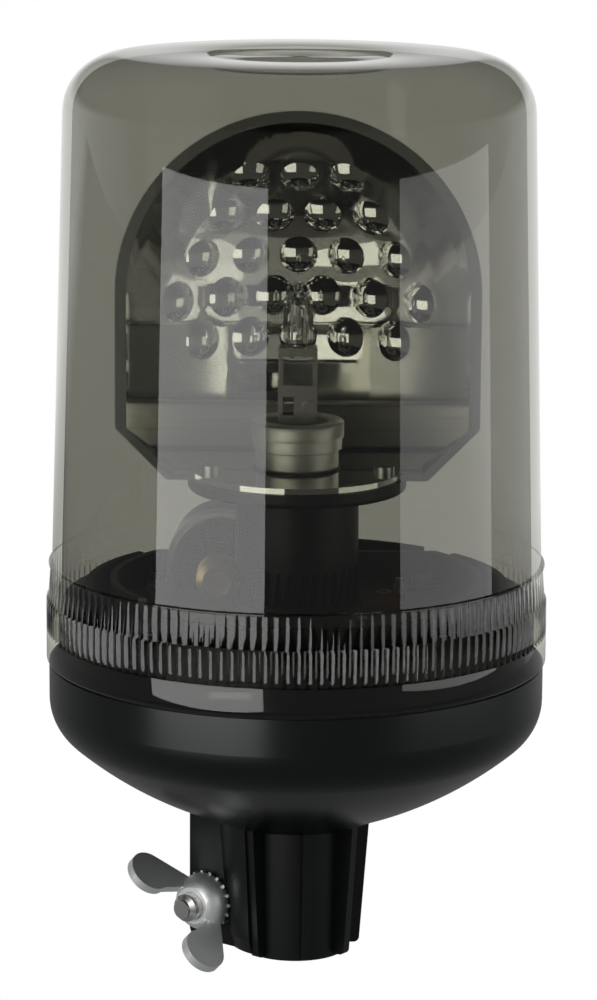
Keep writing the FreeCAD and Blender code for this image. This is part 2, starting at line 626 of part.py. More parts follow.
def make_pole_socket():
    """Clamp tube, thick half with its lug, and ribs. Its own +X points along the lug."""
    body = turned("pole_socket", [
        ("0", "0"), (TUBE, "0"), (TUBE + " + socket_flare", "socket_height"),
        (NECK, "socket_height"), (NECK, NECK_TOP), ("0", NECK_TOP)])
    inner = BORE + " - 2"
    jaw = outline(new_sketch(body, "jaw_profile", "XZ_Plane"), [
        (inner, "jaw_foot"), ("jaw_foot_radius", "jaw_foot"),
        ("jaw_low_radius", "jaw_foot + jaw_bevel"), ("jaw_top_radius", "socket_height"),
        (inner, "socket_height")])
    revolve(body, "jaw", jaw, "jaw_span")
    for name, turn in (("left_side_rib", "rib_side_angle"), ("right_side_rib", "360 - rib_side_angle"),
                       ("left_rib", "rib_front_angle"), ("right_rib", "360 - rib_front_angle"),
                       ("back_rib", "180")):
        rib = outline(new_sketch(body, name + "_profile", "XZ_Plane", turn=turn), [
            (inner, "rib_foot"), ("rib_low_radius - rib_round", "rib_foot", "rib_round"),
            ("rib_low_radius", "rib_foot + rib_round"), ("rib_top_radius", "socket_height"),
            (inner, "socket_height")])
        pad(body, name, rib, "rib_width", middle=True)
    lug = outline(new_sketch(body, "lug_profile", "XZ_Plane"), [
        ("lug_root", "lug_foot"), ("lug_reach - lug_round", "lug_foot", "lug_round"),
        ("lug_reach", "lug_foot + lug_round"), ("lug_reach", "socket_height"),
        ("lug_root", "socket_height")])
    pad(body, "lug", lug, "lug_width", middle=True)
    pole = disc(new_sketch(body, "pole_bore_profile", "XY_Plane"), BORE)
    pocket(body, "pole_bore", pole, "spigot_depth", back=True)
    contact = disc(new_sketch(body, "contact_hole_profile", "XY_Plane", NECK_TOP), "carrier_radius")
    pocket(body, "contact_hole", contact, "stop_wall + 1")
    slit = block(new_sketch(body, "slit_profile", "XZ_Plane"), "0", "-1", "lug_reach + 1", "slit_top")
    pocket(body, "slit", slit, "slit_width", middle=True)
    hole = disc(new_sketch(body, "bolt_hole_profile", "XZ_Plane"),
                "bolt_radius + bolt_hole_clearance", "bolt_reach", "bolt_height")
    pocket(body, "bolt_hole", hole, middle=True)
    for name, face in (("near_spot", "-lug_width / 2"), ("far_spot", "lug_width / 2")):
        spot = disc(new_sketch(body, name + "_profile", "XZ_Plane", face),
                    "washer_tooth_radius + spot_clearance", "bolt_reach", "bolt_height")
        pocket(body, name, spot, back=name == "far_spot")
    pilots = new_sketch(body, "pilot_profile", "XY_Plane", NECK_TOP)
    for x, y in ring_spots("plate_screw_ring", "-clamp_angle", "plate_screws"):
        disc(pilots, "small_screw_radius", x, y)
    pocket(body, "pilots", pilots, "stop_wall - 1")
    place(body, turns=[("0; 0; 1", "clamp_angle")])


def make_base_bowl():
    """Moulded bowl with the ring that the dome goes over, screw bosses and bayonet ramps."""
    flank = "sin(bowl_flank_angle)"
    level = "cos(bowl_flank_angle)"
    corner_x = "bowl_radius - bowl_corner * (1 - %s)" % flank
    corner_z = "bowl_wall_foot - bowl_corner * %s" % level
    foot_z = "socket_height + bowl_foot_rise"
    inner_foot_x = "bowl_foot_radius + 2"
    inner_foot_z = "socket_height + bowl_floor"
    inner_corner_x = corner_x + " - bowl_wall * " + flank
    inner_corner_z = corner_z + " + bowl_wall * " + level

    def flank_radius(x0, z0, x1, z1):
        """Radius of the arc that ends at the second point with the flank's slope."""
        across = "((%s) - (%s))" % (x1, x0)
        up = "((%s) - (%s))" % (z1, z0)
        return "(%s^2 + %s^2) / 2 / (%s * %s - %s * %s)" % (across, up, across, flank, up, level)

    boss_top = NECK_TOP
    hole = NECK + " + neck_gap"
    body = turned("base_bowl", [
        (hole, "socket_height"), ("collar_radius", "socket_height"),
        ("bowl_foot_radius", foot_z, flank_radius("bowl_foot_radius", foot_z, corner_x, corner_z)),
        (corner_x, corner_z, "bowl_corner"),
        ("bowl_radius", "bowl_wall_foot"), ("bowl_radius", "ledge_height"),
        ("groove_radius", "ledge_height"), ("groove_radius", "ledge_height - groove_depth"),
        ("spigot_wall_radius", "ledge_height - groove_depth"), ("spigot_wall_radius", "spigot_top"),
        ("spigot_wall_radius - spigot_wall", "spigot_top"),
        ("spigot_wall_radius - spigot_wall", "spigot_root"),
        ("bowl_radius - bowl_wall", "spigot_root - 2"), ("bowl_radius - bowl_wall", "bowl_wall_foot",
                                                         "-(bowl_corner - bowl_wall)"),
        (inner_corner_x, inner_corner_z, "-" + flank_radius(inner_foot_x, inner_foot_z,
                                                            inner_corner_x, inner_corner_z)),
        (inner_foot_x, inner_foot_z), ("neck_boss_radius", inner_foot_z),
        ("neck_boss_radius", boss_top), (hole, boss_top)])
    spots = ring_spots(BOSS_RING, "45", "deck_screws")
    bosses = new_sketch(body, "boss_profile", "XY_Plane", "deck_base")
    pilots = new_sketch(body, "boss_pilot_profile", "XY_Plane", "deck_base")
    for x, y in spots:
        disc(bosses, "boss_radius", x, y)
        disc(pilots, "deck_screw_radius", x, y)
    pad(body, "bosses", bosses, "deck_base - boss_foot", back=True)
    pocket(body, "boss_pilots", pilots, "deck_screw_length - deck_thickness + 1")
    ramp = block(new_sketch(body, "ramp_profile", "XZ_Plane", turn="ramp_start"),
                 "spigot_wall_radius - 0.5", "ramp_height",
                 "spigot_wall_radius + ramp_reach", "ramp_height + ramp_thickness")
    ramps = helix(body, "ramp", ramp, "ramp_pitch", "ramp_pitch * ramp_span / 360")
    repeat(body, "ramps", ramps, "ramp_count")
    tab = block(new_sketch(body, "tab_profile", "XZ_Plane", turn="ramp_start - tab_back"),
                "spigot_wall_radius - 0.5", "rim_height + ramp_pitch * dome_turn / 360 + tab_clearance",
                "spigot_wall_radius + ramp_reach", "tab_top")
    pad(body, "stop_tab", tab, "tab_width", middle=True)


def make_socket_plate():
    """Steel plate that draws the socket up against the bowl, with its screws and the earth tag."""
    plate_hole = "carrier_cap_radius + tag_clearance"
    plate = turned("socket_plate", [
        (plate_hole, NECK_TOP), ("plate_radius", NECK_TOP), ("plate_radius", PLATE_TOP),
        (plate_hole, PLATE_TOP)])
    spots = ring_spots("plate_screw_ring", "0", "plate_screws")
    holes = new_sketch(plate, "plate_hole_profile", "XY_Plane", PLATE_TOP)
    for x, y in spots:
        disc(holes, "small_screw_radius", x, y)
    pocket(plate, "plate_holes", holes, "plate_thickness")
    tag = turned("earth_tag", [
        (plate_hole, PLATE_TOP), ("tag_radius", PLATE_TOP), ("tag_radius", TAG_TOP),
        (plate_hole, TAG_TOP)])
    tag_holes = new_sketch(tag, "tag_hole_profile", "XY_Plane", TAG_TOP)
    for x, y in spots:
        disc(tag_holes, "small_screw_radius", x, y)
    pocket(tag, "tag_holes", tag_holes, "tag_thickness")
    tongue = block(new_sketch(tag, "tongue_profile", "XY_Plane", PLATE_TOP),
                   "tag_radius - 1.2", "-blade_width / 2", "tag_radius + 3", "blade_width / 2")
    pad(tag, "tongue", tongue, "tag_thickness")
    blade = block(new_sketch(tag, "blade_profile", "XY_Plane", PLATE_TOP),
                  "tag_radius + 3 - tag_thickness", "-blade_width / 2", "tag_radius + 3", "blade_width / 2")
    pad(tag, "blade", blade, "blade_height")
    place(tag, turns=[("0; 0; 1", "360 / plate_screws")])
    screws("socket_screws", spots, TAG_TOP, "small_head_radius", "small_head_height",
           "small_screw_radius", "small_screw_length")


def make_contacts():
    """Insulated carrier with the sprung centre contact that meets the pole's contact."""
    roof = "carrier_top - carrier_roof"
    floor = "carrier_foot + carrier_floor"
    hole = "pin_radius + pin_fit"
    turned("contact_carrier", [
        (hole, "carrier_foot"), ("carrier_radius", "carrier_foot"), ("carrier_radius", NECK_TOP),
        ("carrier_cap_radius", NECK_TOP), ("carrier_cap_radius", "carrier_top"),
        ("stem_radius + stem_clearance", "carrier_top"), ("stem_radius + stem_clearance", roof),
        ("chamber_radius", roof), ("chamber_radius", floor), (hole, floor)])
    collar_top = floor + " + pin_collar"
    turned("centre_contact", [
        ("0", "pin_tip"), ("pin_radius - 0.4", "pin_tip"), ("pin_radius", "pin_tip + 0.4"),
        ("pin_radius", floor), ("pin_collar_radius", floor), ("pin_collar_radius", collar_top),
        ("stem_radius", collar_top), ("stem_radius", "carrier_top + stem_stickout"),
        ("0", "carrier_top + stem_stickout")])
    spring = new_body("contact_spring")
    low = collar_top + " + spring_wire"
    free = "(%s) - (%s) - 2 * spring_wire" % (roof, collar_top)
    wire = disc(new_sketch(spring, "wire_profile", "XZ_Plane"), "spring_wire", "spring_radius", low)
    helix(spring, "coil", wire, "(%s) / spring_turns" % free, free)


def make_clamp_hardware():
    """Clamp bolt, toothed washer and wing nut, each built along its own +Z."""
    seat = "lug_width / 2"
    bolt = turned("clamp_bolt", [
        ("0", "-(%s)" % seat), ("bolt_radius", "-(%s)" % seat),
        ("bolt_radius", seat + " + bolt_stickout - bolt_point_length"),
        ("bolt_point_radius", seat + " + bolt_stickout - bolt_point_length + 1"),
        ("bolt_point_radius", seat + " + bolt_stickout"), ("0", seat + " + bolt_stickout")])
    corner = "bolt_head_across / 2 / cos(30)"
    head = outline(new_sketch(bolt, "head_profile", "XY_Plane", "-(%s)" % seat),
                   [("%s * cos(%d)" % (corner, angle), "%s * sin(%d)" % (corner, angle))
                    for angle in range(30, 390, 60)])
    pad(bolt, "head", head, "bolt_head_height", back=True)
    on_bolt(bolt, "0")

    washer = turned("toothed_washer", [
        ("bolt_radius + washer_bore_clearance", "0"), ("washer_body_radius", "0"),
        ("washer_body_radius", "washer_thickness"),
        ("bolt_radius + washer_bore_clearance", "washer_thickness")])
    half = "washer_body_radius * sin(90 / washer_teeth)"
    tooth = outline(new_sketch(washer, "washer_tooth_profile", "XY_Plane"), [
        ("washer_body_radius - 0.5", "-(%s)" % half), ("washer_tooth_radius", "-0.6 * (%s)" % half),
        ("washer_tooth_radius", "0.6 * (%s)" % half), ("washer_body_radius - 0.5", half)])
    repeat(washer, "washer_crown", pad(washer, "washer_tooth", tooth, "washer_thickness"), "washer_teeth")
    on_bolt(washer, seat)

    bore = "bolt_radius + nut_fit"
    nut = turned("wing_nut", [
        (bore, "0"), ("nut_base_radius", "0"), ("nut_base_radius", "nut_base_edge", "hub_crown"),
        ("nut_front_radius", "nut_height"), (bore, "nut_height")])
    wing = outline(new_sketch(nut, "wing_profile", "XZ_Plane", turn="wing_turn"), [
        ("bolt_radius + 0.7", "wing_root"), ("nut_base_radius - 0.6", "wing_root"),
        ("wing_out + wing_lobe * cos(50)", "wing_up - wing_lobe * sin(50)", "wing_lobe"),
        ("wing_out + wing_lobe * cos(75)", "wing_up + wing_lobe * sin(75)", "wing_lobe"),
        ("wing_out - wing_lobe * cos(10)", "wing_up - wing_lobe * sin(10)"),
        ("nut_front_radius + 0.5", "nut_height - 0.4"), ("bolt_radius + 0.7", "nut_height - 0.4")])
    repeat(nut, "wings", pad(nut, "wing", wing, "wing_thickness", middle=True), "2")
    on_bolt(nut, seat + " + washer_thickness")


# ---------------------------------------------------------------------------------- chassis

def make_chassis_deck():
    """Black deck with a low rim that gives way round the screws."""
    body = turned("chassis_deck", [
        ("hub_radius + hub_gap", "deck_base"), ("deck_radius", "deck_base"), ("deck_radius", DECK_TOP),
        ("deck_rim_radius", DECK_TOP), ("deck_rim_radius", "deck_rim_top"),
        ("deck_rim_radius - deck_rim_wall", "deck_rim_top"), ("deck_rim_radius - deck_rim_wall", DECK_TOP),
        ("hub_radius + hub_gap", DECK_TOP)])
    spots = ring_spots(BOSS_RING, "45", "deck_screws")
    notches = new_sketch(body, "notch_profile", "XY_Plane", DECK_TOP)
    holes = new_sketch(body, "deck_hole_profile", "XY_Plane", DECK_TOP)
    for x, y in spots:
        disc(notches, "deck_notch", x, y)
        disc(holes, "deck_screw_radius", x, y)
    pocket(body, "notches", notches, "deck_rim_top - (%s) + 1" % DECK_TOP, back=True)
    pocket(body, "deck_holes", holes, "deck_thickness")
    half = "(sqrt((motor_radius + cradle_wall)^2 - (drive_height - (%s))^2) + cradle_gap)" % DECK_TOP
    opening = block(new_sketch(body, "opening_profile", "XY_Plane", DECK_TOP),
                    WORM_X + " - " + half, "motor_face - cap_rim_height - cradle_gap", WORM_X + " + " + half,
                    "motor_face + motor_length + cradle_gap")
    pocket(body, "motor_opening", opening, "deck_thickness")
    tray_pilots = new_sketch(body, "tray_pilot_profile", "XY_Plane", DECK_TOP)
    for x, y in TRAY_SPOTS:
        disc(tray_pilots, "tray_screw_radius", x, y)
    pocket(body, "tray_pilots", tray_pilots, "deck_thickness")
    screws("deck_screws", spots, DECK_TOP, "deck_screw_head", "deck_screw_head_height",
           "deck_screw_radius", "deck_screw_length")


def tray_outline(sketch, inset):
    """Round tray with a straight back, drawn inset from its outer edge."""
    radius = "(tray_radius - %s)" % inset
    back = "(tray_back - %s)" % inset
    side = "sqrt(%s^2 - %s^2)" % (radius, back)
    return outline(sketch, [
        (side, back), ("-%s" % side, back, radius),
        ("-%s * cos(45)" % radius, "-%s * sin(45)" % radius, radius),
        ("%s * cos(45)" % radius, "-%s * sin(45)" % radius, radius)])


def make_gear_tray():
    """Cast tray that carries post, motor and terminal board."""
    body = new_body("gear_tray")
    pad(body, "tray_block", tray_outline(new_sketch(body, "tray_profile", "XY_Plane", DECK_TOP), "0"),
        "tray_floor + tray_wall_height")
    inside = tray_outline(new_sketch(body, "tray_inside_profile", "XY_Plane", FLOOR), "tray_wall")
    pocket(body, "tray_inside", inside, "tray_wall_height + 1", back=True)
    front = block(new_sketch(body, "front_profile", "XY_Plane", FLOOR + " + tray_front_height"),
                  "-tray_radius - 1", "-tray_radius - 1", "tray_radius + 1", "-tray_front_edge")
    pocket(body, "front_step", front, "tray_wall_height", back=True)
    hub = disc(new_sketch(body, "hub_profile", "XY_Plane", "hub_foot"), "hub_radius")
    pad(body, "hub", hub, "(%s) - hub_foot" % FLOOR)
    pads = new_sketch(body, "pad_profile", "XY_Plane", FLOOR)
    for x, y in TRAY_SPOTS[:2]:
        disc(pads, "pad_radius", x, y)
    pad(body, "screw_pads", pads, "pad_height")
    third = disc(new_sketch(body, "third_pad_profile", "XY_Plane", FLOOR), "pad_radius * 0.7", *TRAY_SPOTS[2])
    pad(body, "third_pad", third, "pad_height")
    half = "sqrt((motor_radius + cradle_wall)^2 - (drive_height - (%s))^2)" % FLOOR
    cradle = outline(new_sketch(body, "cradle_profile", "XZ_Plane", "-cradle_start"), [
        ("%s - %s" % (WORM_X, half), FLOOR, "motor_radius + cradle_wall"),
        ("%s + %s" % (WORM_X, half), FLOOR)])
    pad(body, "cradle", cradle, "cradle_end - cradle_start", back=True)
    motor = disc(new_sketch(body, "motor_bed_profile", "XZ_Plane", "-(motor_face - 1)"),
                 "motor_radius", WORM_X, "drive_height")
    pocket(body, "motor_bed", motor)
    bore = disc(new_sketch(body, "hub_bore_profile", "XY_Plane", FLOOR), "post_radius")
    pocket(body, "hub_bore", bore)
    pilots = new_sketch(body, "tray_hole_profile", "XY_Plane", FLOOR + " + pad_height")
    for x, y in TRAY_SPOTS:
        disc(pilots, "tray_screw_radius", x, y)
    pocket(body, "tray_holes", pilots, "tray_floor + pad_height")
    strap_holes = new_sketch(body, "strap_hole_profile", "XY_Plane", FLOOR)
    for x, y in STRAP_SPOTS:
        disc(strap_holes, "strap_screw_radius", x, y)
    pocket(body, "strap_holes", strap_holes, "tray_floor")
    screws("tray_screws", TRAY_SPOTS, FLOOR + " + pad_height", "tray_screw_head",
           "tray_screw_head_height", "tray_screw_radius", "tray_screw_length")


def make_motor():
    """Flat-faced motor lying in the tray, its own +Z towards the back, with strap and terminals."""
    hole = "shaft_radius + shaft_fit"
    case = turned("motor_case", [
        (hole, "cap_thickness"), ("motor_radius", "cap_thickness"), ("motor_radius", "motor_length - 1"),
        ("motor_radius - 1", "motor_length"), ("rear_boss_radius", "motor_length"),
        ("rear_boss_radius", "motor_length + rear_boss_height"), ("0", "motor_length + rear_boss_height"),
        ("0", "shaft_reach + 1"), (hole, "shaft_reach + 1")])
    place(case, WORM_X, "motor_face", "drive_height", MOTOR_TURN)

    cap = turned("motor_end_cap", [
        (hole, "-cap_boss_height"), ("cap_boss_radius", "-cap_boss_height"), ("cap_boss_radius", "0"),
        ("motor_radius - cap_rim_wall", "0"), ("motor_radius - cap_rim_wall", "-cap_rim_height"),
        ("motor_radius", "-cap_rim_height"), ("motor_radius", "cap_thickness"), (hole, "cap_thickness")])
    side = "sin(vent_angle)"
    ahead = "cos(vent_angle)"
    vent = outline(new_sketch(cap, "vent_profile", "XY_Plane", turn="30"), [
        ("vent_outer * " + ahead, "-vent_outer * " + side, "vent_outer"),
        ("vent_outer * " + ahead, "vent_outer * " + side),
        ("vent_inner * " + ahead, "vent_inner * " + side, "-vent_inner"),
        ("vent_inner * " + ahead, "-vent_inner * " + side)])
    repeat(cap, "vents", pocket(cap, "vent", vent, "vent_depth", back=True), "vent_count")
    holes = new_sketch(cap, "cap_hole_profile", "XY_Plane")
    disc(holes, "cap_hole_radius", "cap_hole_ring * cos(240)", "cap_hole_ring * sin(240)")
    disc(holes, "cap_hole_radius", "cap_hole_ring * cos(60)", "cap_hole_ring * sin(60)")
    pocket(cap, "cap_holes", holes, "vent_depth", back=True)
    place(cap, WORM_X, "motor_face", "drive_height", MOTOR_TURN)

    blades = new_body("motor_terminals")
    profile = new_sketch(blades, "motor_blade_profile", "XY_Plane", "motor_length")
    for sign in ("-", ""):
        block(profile, sign + "blade_gap - blade_thickness / 2", "-motor_blade_width / 2",
              sign + "blade_gap + blade_thickness / 2", "motor_blade_width / 2")
    pad(blades, "motor_blades", profile, "motor_blade_length")
    place(blades, WORM_X, "motor_face", "drive_height", MOTOR_TURN)

    strap = new_body("motor_strap")
    inner = "motor_radius"
    outer = "(motor_radius + strap_thickness)"
    foot = "(motor_radius + strap_thickness + strap_foot)"
    top = FLOOR + " + strap_thickness"
    bow = outline(new_sketch(strap, "strap_profile", "XZ_Plane", "-strap_start"), [
        ("%s + %s" % (WORM_X, foot), FLOOR), ("%s + %s" % (WORM_X, foot), top),
        ("%s + %s" % (WORM_X, outer), top), ("%s + %s" % (WORM_X, outer), "drive_height", outer),
        (WORM_X, "drive_height + " + outer, outer), ("%s - %s" % (WORM_X, outer), "drive_height"),
        ("%s - %s" % (WORM_X, outer), top),
        ("%s - %s" % (WORM_X, foot), top), ("%s - %s" % (WORM_X, foot), FLOOR),
        ("%s - %s" % (WORM_X, inner), FLOOR), ("%s - %s" % (WORM_X, inner), "drive_height", "-" + inner),
        (WORM_X, "drive_height + " + inner, "-" + inner), ("%s + %s" % (WORM_X, inner), "drive_height"),
        ("%s + %s" % (WORM_X, inner), FLOOR)])
    pad(strap, "strap", bow, "strap_width", back=True)
    holes = new_sketch(strap, "strap_foot_hole_profile", "XY_Plane", top)
    for x, y in STRAP_SPOTS:
        disc(holes, "strap_screw_radius", x, y)
    pocket(strap, "strap_foot_holes", holes, "strap_thickness")
    screws("strap_screws", STRAP_SPOTS, top, "strap_screw_head", "strap_screw_head_height",
           "strap_screw_radius", "strap_screw_length")


def make_terminal_board():
    """Insulating board with a flat eyelet and a square post."""
    board = new_body("terminal_board")
    pad(board, "board", block(new_sketch(board, "board_profile", "XY_Plane", FLOOR), "board_x", "board_y",
                              "board_x + board_width", "board_y + board_length"), "board_thickness")
    top = FLOOR + " + board_thickness"
    eyelet = new_body("terminal_eyelet")
    ring = disc(new_sketch(eyelet, "eyelet_profile", "XY_Plane", top), "eyelet_radius", "eyelet_x", "eyelet_y")
    disc(ring, "eyelet_bore", "eyelet_x", "eyelet_y")
    pad(eyelet, "eyelet", ring, "eyelet_thickness")
    post = new_body("terminal_post")
    for name, side, height, base in (("stud", "stud_side", "stud_height", top),
                                     ("stud_tip", "stud_tip_side", "stud_tip_height", top + " + stud_height")):
        square = block(new_sketch(post, name + "_profile", "XY_Plane", base),
                       "stud_x - %s / 2" % side, "stud_y - %s / 2" % side,
                       "stud_x + %s / 2" % side, "stud_y + %s / 2" % side)
        pad(post, name, square, height)


def make_centre_post():
    """Fixed hollow post that carries the lamp, its circlip and the rotor's thrust washer."""
    clip_foot = DISC_TOP + " + clip_gap"
    groove = "post_radius - clip_groove"
    turned("centre_post", [
        ("post_bore", "hub_foot"), ("post_radius", "hub_foot"), ("post_radius", clip_foot),
        (groove, clip_foot), (groove, clip_foot + " + clip_thickness"),
        ("post_radius", clip_foot + " + clip_thickness"), ("post_radius", "cup_base + cup_floor"),
        ("post_bore", "cup_base + cup_floor")])
    clip = turned("post_circlip", [
        (groove, clip_foot), ("clip_radius", clip_foot), ("clip_radius", clip_foot + " + clip_thickness"),
        (groove, clip_foot + " + clip_thickness")])
    gap = block(new_sketch(clip, "clip_gap_profile", "XY_Plane", clip_foot + " + clip_thickness"),
                "-clip_opening / 2", "0", "clip_opening / 2", "clip_radius + 1")
    pocket(clip, "clip_gap_cut", gap, "clip_thickness")
    turned("thrust_washer", [
        ("post_radius + thrust_clearance", FLOOR), ("thrust_radius", FLOOR), ("thrust_radius", DRUM_FOOT),
        ("post_radius + thrust_clearance", DRUM_FOOT)])


# ---------------------------------------------------------------------------------- lamp

def make_lamp():
    """Lamp holder with its knurled ring, and the halogen bulb in its metal sleeve."""
    bowl_floor = "cup_base + cup_floor"
    cup_in = "cup_radius - cup_wall"
    turned("lamp_cup", [
        ("post_radius", "cup_base"), ("cup_radius - cup_round", "cup_base", "cup_round"),
        ("cup_radius", "cup_base + cup_round"), ("cup_radius", "cup_top"), (cup_in, "cup_top"),
        (cup_in, bowl_floor), ("post_radius", bowl_floor)])
    turned("lamp_insulator", [
        ("lamp_pin_radius", bowl_floor), (cup_in, bowl_floor), (cup_in, "cup_top"),
        ("lamp_pin_radius", "cup_top")])
    turned("lamp_contact", [
        ("0", "lamp_pin_foot"), ("lamp_pin_radius", "lamp_pin_foot"), ("lamp_pin_radius", "cup_top"),
        ("0", "cup_top")])
    flange_top = "cup_top + flange_thickness"
    ring_floor = flange_top + " + ring_gap"
    ring_bore = "cup_radius + ring_fit"
    turned("lamp_ring", [
        (ring_bore, "ring_foot"), ("ring_skirt_radius", "ring_foot"), ("ring_skirt_radius", "ring_step"),
        ("ring_radius", "ring_step"), ("ring_radius", "ring_top - ring_edge"),
        ("ring_radius - ring_edge", "ring_top"), ("ring_mouth + ring_edge", "ring_top"),
        ("ring_mouth", "ring_top - ring_edge"), ("ring_mouth", ring_floor), (ring_bore, ring_floor)])

    base = turned("bulb_base", [
        ("0", "cup_top"), ("cup_radius - flange_clearance", "cup_top"),
        ("cup_radius - flange_clearance", flange_top), ("0", flange_top)])
    wide = "sleeve_width / 2"
    deep = "sleeve_depth / 2"
    tube = block(new_sketch(base, "sleeve_profile", "XY_Plane", flange_top),
                 "-" + wide, "-" + deep, wide, deep)
    pad(base, "sleeve", tube, "sleeve_top - (%s)" % flange_top)
    hollow = block(new_sketch(base, "sleeve_hollow_profile", "XY_Plane", "sleeve_top"),
                   "-%s + sleeve_wall" % wide, "-%s + sleeve_wall" % deep,
                   "%s - sleeve_wall" % wide, "%s - sleeve_wall" % deep)
    pocket(base, "sleeve_hollow", hollow, "sleeve_top - (%s)" % flange_top)
    windows = new_sketch(base, "window_profile", "XZ_Plane")
    block(windows, "-window_half", "window_foot", "window_half", "window_top")
    block(windows, "slot_left", "slot_foot", "slot_right", "slot_top")
    pocket(base, "windows", windows, middle=True)

    glass = turned("bulb_glass", [
        ("0", "glass_foot - 1.5"), ("glass_neck", "glass_foot - 1.5"),
        ("glass_neck", "sleeve_top + 0.1"), ("glass_radius", "sleeve_top + 1"),
        ("glass_radius", "glass_shoulder", "glass_radius"), ("glass_tip_radius", "glass_top"),
        ("glass_tip_radius", "glass_tip - 0.4"), ("glass_tip_radius - 0.4", "glass_tip"), ("0", "glass_tip"),
        ("0", "glass_top - glass_wall - 0.6"), ("glass_tip_radius", "glass_top - glass_wall - 0.6"),
        ("glass_radius - glass_wall", "glass_shoulder"), ("glass_radius - glass_wall", "sleeve_top + 1.4"),
        ("glass_neck - glass_wall", "sleeve_top + 0.5"), ("glass_neck - glass_wall", "glass_foot"),
        ("0", "glass_foot")])
    pinch = block(new_sketch(glass, "pinch_profile", "XY_Plane", "glass_foot - 1"),
                  "-pinch_width / 2", "-pinch_depth / 2", "pinch_width / 2", "pinch_depth / 2")
    pad(glass, "pinch", pinch, "glass_foot - 1 - pinch_foot", back=True)

    coil_top = "coil_foot + coil_length"
    filament = turned("bulb_filament", [
        ("0", "coil_foot"), ("coil_radius", "coil_foot"), ("coil_radius", coil_top), ("0", coil_top)])
    leads = new_sketch(filament, "lead_profile", "XY_Plane", "glass_foot")
    disc(leads, "lead_radius", "-lead_gap", "0")
    disc(leads, "lead_radius", "lead_gap", "0")
    pad(filament, "leads", leads, "coil_foot + coil_length - 0.3 - glass_foot")
    links = new_sketch(filament, "link_profile", "YZ_Plane")
    disc(links, "lead_radius * 0.9", "0", "coil_foot + 0.6")
    pad(filament, "left_link", links, "lead_gap", back=True)
    upper = disc(new_sketch(filament, "upper_link_profile", "YZ_Plane"), "lead_radius * 0.9", "0",
                 "%s - 0.6" % coil_top)
    pad(filament, "right_link", upper, "lead_gap")

    screw = new_body("bulb_screw")
    head = disc(new_sketch(screw, "bulb_screw_profile", "XZ_Plane", deep), "clamp_screw_radius",
                "clamp_screw_x", "clamp_screw_height")
    pad(screw, "bulb_screw_head", head, "clamp_screw_thickness")
    clip = new_body("bulb_clip")
    bar = block(new_sketch(clip, "clip_profile", "XY_Plane", flange_top),
                "-spring_clip_width / 2", "-spring_clip_front", "spring_clip_width / 2",
                "-spring_clip_front + spring_clip_depth")
    pad(clip, "clip_bar", bar, "spring_clip_height")


# ---------------------------------------------------------------------------------- worm drive and rotor

def make_worm():
    """Right-hand worm on the motor shaft, its own +Z towards the motor."""
    lead = "(pi * tooth_module)"
    root = "(worm_pitch_radius - dedendum)"
    tip = "(worm_pitch_radius + addendum)"
    worm = turned("worm", [
        ("0", "worm_cup_depth"), ("worm_cup_radius", "worm_cup_depth"), ("worm_cup_radius", "0"),
        (root + " - 0.4", "0"), (root, "0.4"), (root, "worm_length"), ("shaft_radius", "worm_length"),
        ("shaft_radius", "worm_cup_depth + 2"), ("0", "worm_cup_depth + 2")])
    first = "(worm_length / 2 - worm_turns / 2 * %s)" % lead
    bottom = "(pi * tooth_module / 4 - flank_play + (dedendum + 0.2) * tan(pressure_angle))"
    top = "(pi * tooth_module / 4 - flank_play - addendum * tan(pressure_angle))"
    thread = outline(new_sketch(worm, "thread_profile", "XZ_Plane"), [
        (root + " - 0.2", "%s - %s" % (first, bottom)), (tip, "%s - %s" % (first, top)),
        (tip, "%s + %s" % (first, top)), (root + " - 0.2", "%s + %s" % (first, bottom))])
    helix(worm, "thread", thread, lead, "worm_turns * %s" % lead)
    place(worm, WORM_X, "-worm_length / 2", "drive_height", MOTOR_TURN)
    shaft = turned("motor_shaft", [
        ("0", "-worm_length / 2 + worm_cup_depth + 2"),
        ("shaft_radius", "-worm_length / 2 + worm_cup_depth + 2"),
        ("shaft_radius", "motor_face + shaft_reach"), ("0", "motor_face + shaft_reach")])
    place(shaft, WORM_X, "0", "drive_height", MOTOR_TURN)


